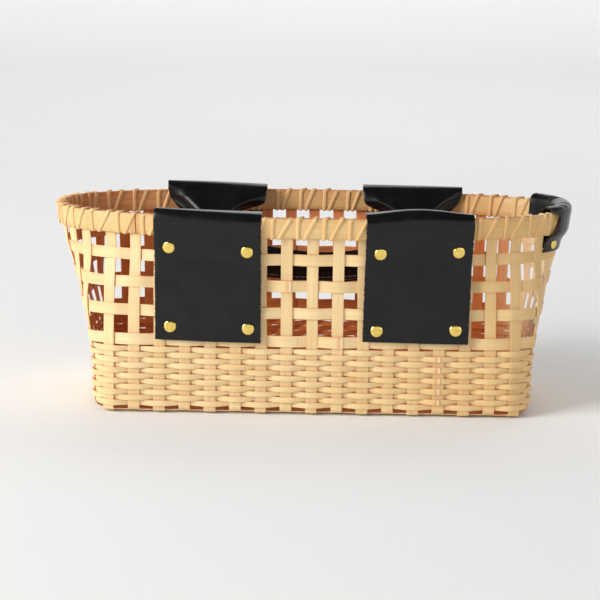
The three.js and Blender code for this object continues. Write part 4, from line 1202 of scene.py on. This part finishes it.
dress(sleeve("leather_sleeve"), "black_leather", "end_sleeve")
for i, place in enumerate(SLEEVE_RIVETS):
    point, _, out = wall_frame(place, SLEEVE_HEM + SLEEVE_RIVET_UP)
    obj = rivet(f"rivet_sleeve_{i + 1}", point, out, **SLEEVE_RIVET)
    dress(obj, "brass", f"sleeve_rivet_{i + 1}")

# The studio, in metres: a pale floor that runs up into a wall all round, soft light and the camera.
FLOOR_LEVEL = -0.0009
STUDIO_SIDES = 72
STUDIO_REACH = 3.3
STUDIO_CURVE = 0.9
STUDIO_HEIGHT = 2.3
WALL_GLOW = 0.175
GLOW_TOP = 0.35
TARGET = (0, 0, 0.08)


def studio_material():
    matt = {"Roughness": 0.9, "Specular IOR Level": 0.1, "Emission Color": (1, 1, 1)}
    made, n, shader = material("studio", matt)
    place = n.object_place()
    cloud = n.noise(place, 1.6, 2.0, 0.5)
    n.feed(shader, {
        "Base Color": n.mix(cloud, linear(248, 248, 248), linear(251, 251, 251)),
        # Painted light: the wall glows, the more the higher it rises, though it is no lamp.
        "Emission Strength": n.spread(n.parts(place)[2], 0.0, GLOW_TOP, 0.0, WALL_GLOW),
    })
    return made


def studio():
    """A round pale floor whose edge curves up into a low wall all round."""
    turns = np.linspace(0, 2 * math.pi, STUDIO_SIDES, endpoint=False)
    circle = np.stack([np.cos(turns), np.sin(turns), 0 * turns], -1)
    curve = np.radians(np.arange(6, 91, 6))
    profile = [(STUDIO_REACH, 0.0)]
    profile += [(STUDIO_REACH + STUDIO_CURVE * math.sin(a), STUDIO_CURVE * (1 - math.cos(a))) for a in curve]
    profile.append((STUDIO_REACH + STUDIO_CURVE, STUDIO_HEIGHT))
    points = np.concatenate([circle * reach + UP * (height + FLOOR_LEVEL) for reach, height in profile]) / MM
    faces = [list(range(STUDIO_SIDES))]
    for low in range(0, (len(profile) - 1) * STUDIO_SIDES, STUDIO_SIDES):
        for a in range(STUDIO_SIDES):
            b = (a + 1) % STUDIO_SIDES
            faces.append([low + b, low + a, low + a + STUDIO_SIDES, low + b + STUDIO_SIDES])
    new_object("studio_floor", points, faces, studio_material(), 60)


def area_light(name, place, aim, size, power, color=(1.0, 1.0, 1.0), reflected=True):
    lamp = bpy.data.lights.new(name, "AREA")
    lamp.shape = "RECTANGLE"
    lamp.size, lamp.size_y = size
    lamp.energy = power
    lamp.color = color
    obj = bpy.data.objects.new(name, lamp)
    bpy.context.scene.collection.objects.link(obj)
    obj.location = place
    obj.rotation_euler = (Vector(aim) - Vector(place)).to_track_quat("-Z", "Y").to_euler()
    obj.visible_glossy = reflected


def world_light():
    """A world that is brighter at the horizon than above it."""
    world = bpy.data.worlds.new("studio_world")
    bpy.context.scene.world = world
    world.use_nodes = True
    n = Nodes(world.node_tree)
    toward = n.parts(n.add("ShaderNodeTexCoord", {}).outputs["Generated"])
    strength = n.spread(toward[2], 0.02, 0.36, 0.45, 0.08)
    n.feed(world.node_tree.nodes["Background"], {"Color": (1, 1, 1), "Strength": strength})


studio()
area_light("window", (-2.5, -1.45, 1.5), TARGET, (1.7, 1.7), 90, (1.0, 0.99, 0.975))
area_light("backdrop_light", (0.3, 2.2, 2.3), (0.1, 2.0, 0.0), (3.0, 1.6), 26, reflected=False)
area_light("ceiling", (0.0, -0.4, 3.0), (0.0, -0.2, 0.0), (4.0, 3.0), 14, reflected=False)
area_light("fill", (2.4, -1.5, 0.9), TARGET, (1.6, 1.2), 5, (1.0, 0.96, 0.9))
world_light()

# The camera, fitted to the photograph: it looks along Y, then pitches down, rolls and yaws.
CAMERA_PLACE = (0.009, -1.607, 0.399)
CAMERA_YAW = math.radians(0.70)
CAMERA_PITCH = math.radians(11.33)
CAMERA_ROLL = math.radians(0.79)
CAMERA_LENS = 120
camera_data = bpy.data.cameras.new("camera")
camera = bpy.data.objects.new("camera", camera_data)
bpy.context.scene.collection.objects.link(camera)
camera_data.sensor_width = 36
camera_data.lens = CAMERA_LENS
camera_data.clip_start = 0.05
camera_data.clip_end = 30
tilt = Matrix.Rotation(math.pi / 2 - CAMERA_PITCH, 4, "X") @ Matrix.Rotation(CAMERA_ROLL, 4, "Z")
camera.matrix_world = Matrix.Translation(CAMERA_PLACE) @ Matrix.Rotation(CAMERA_YAW, 4, "Z") @ tilt
bpy.context.scene.camera = camera
bpy.context.scene.view_settings.view_transform = "Standard"
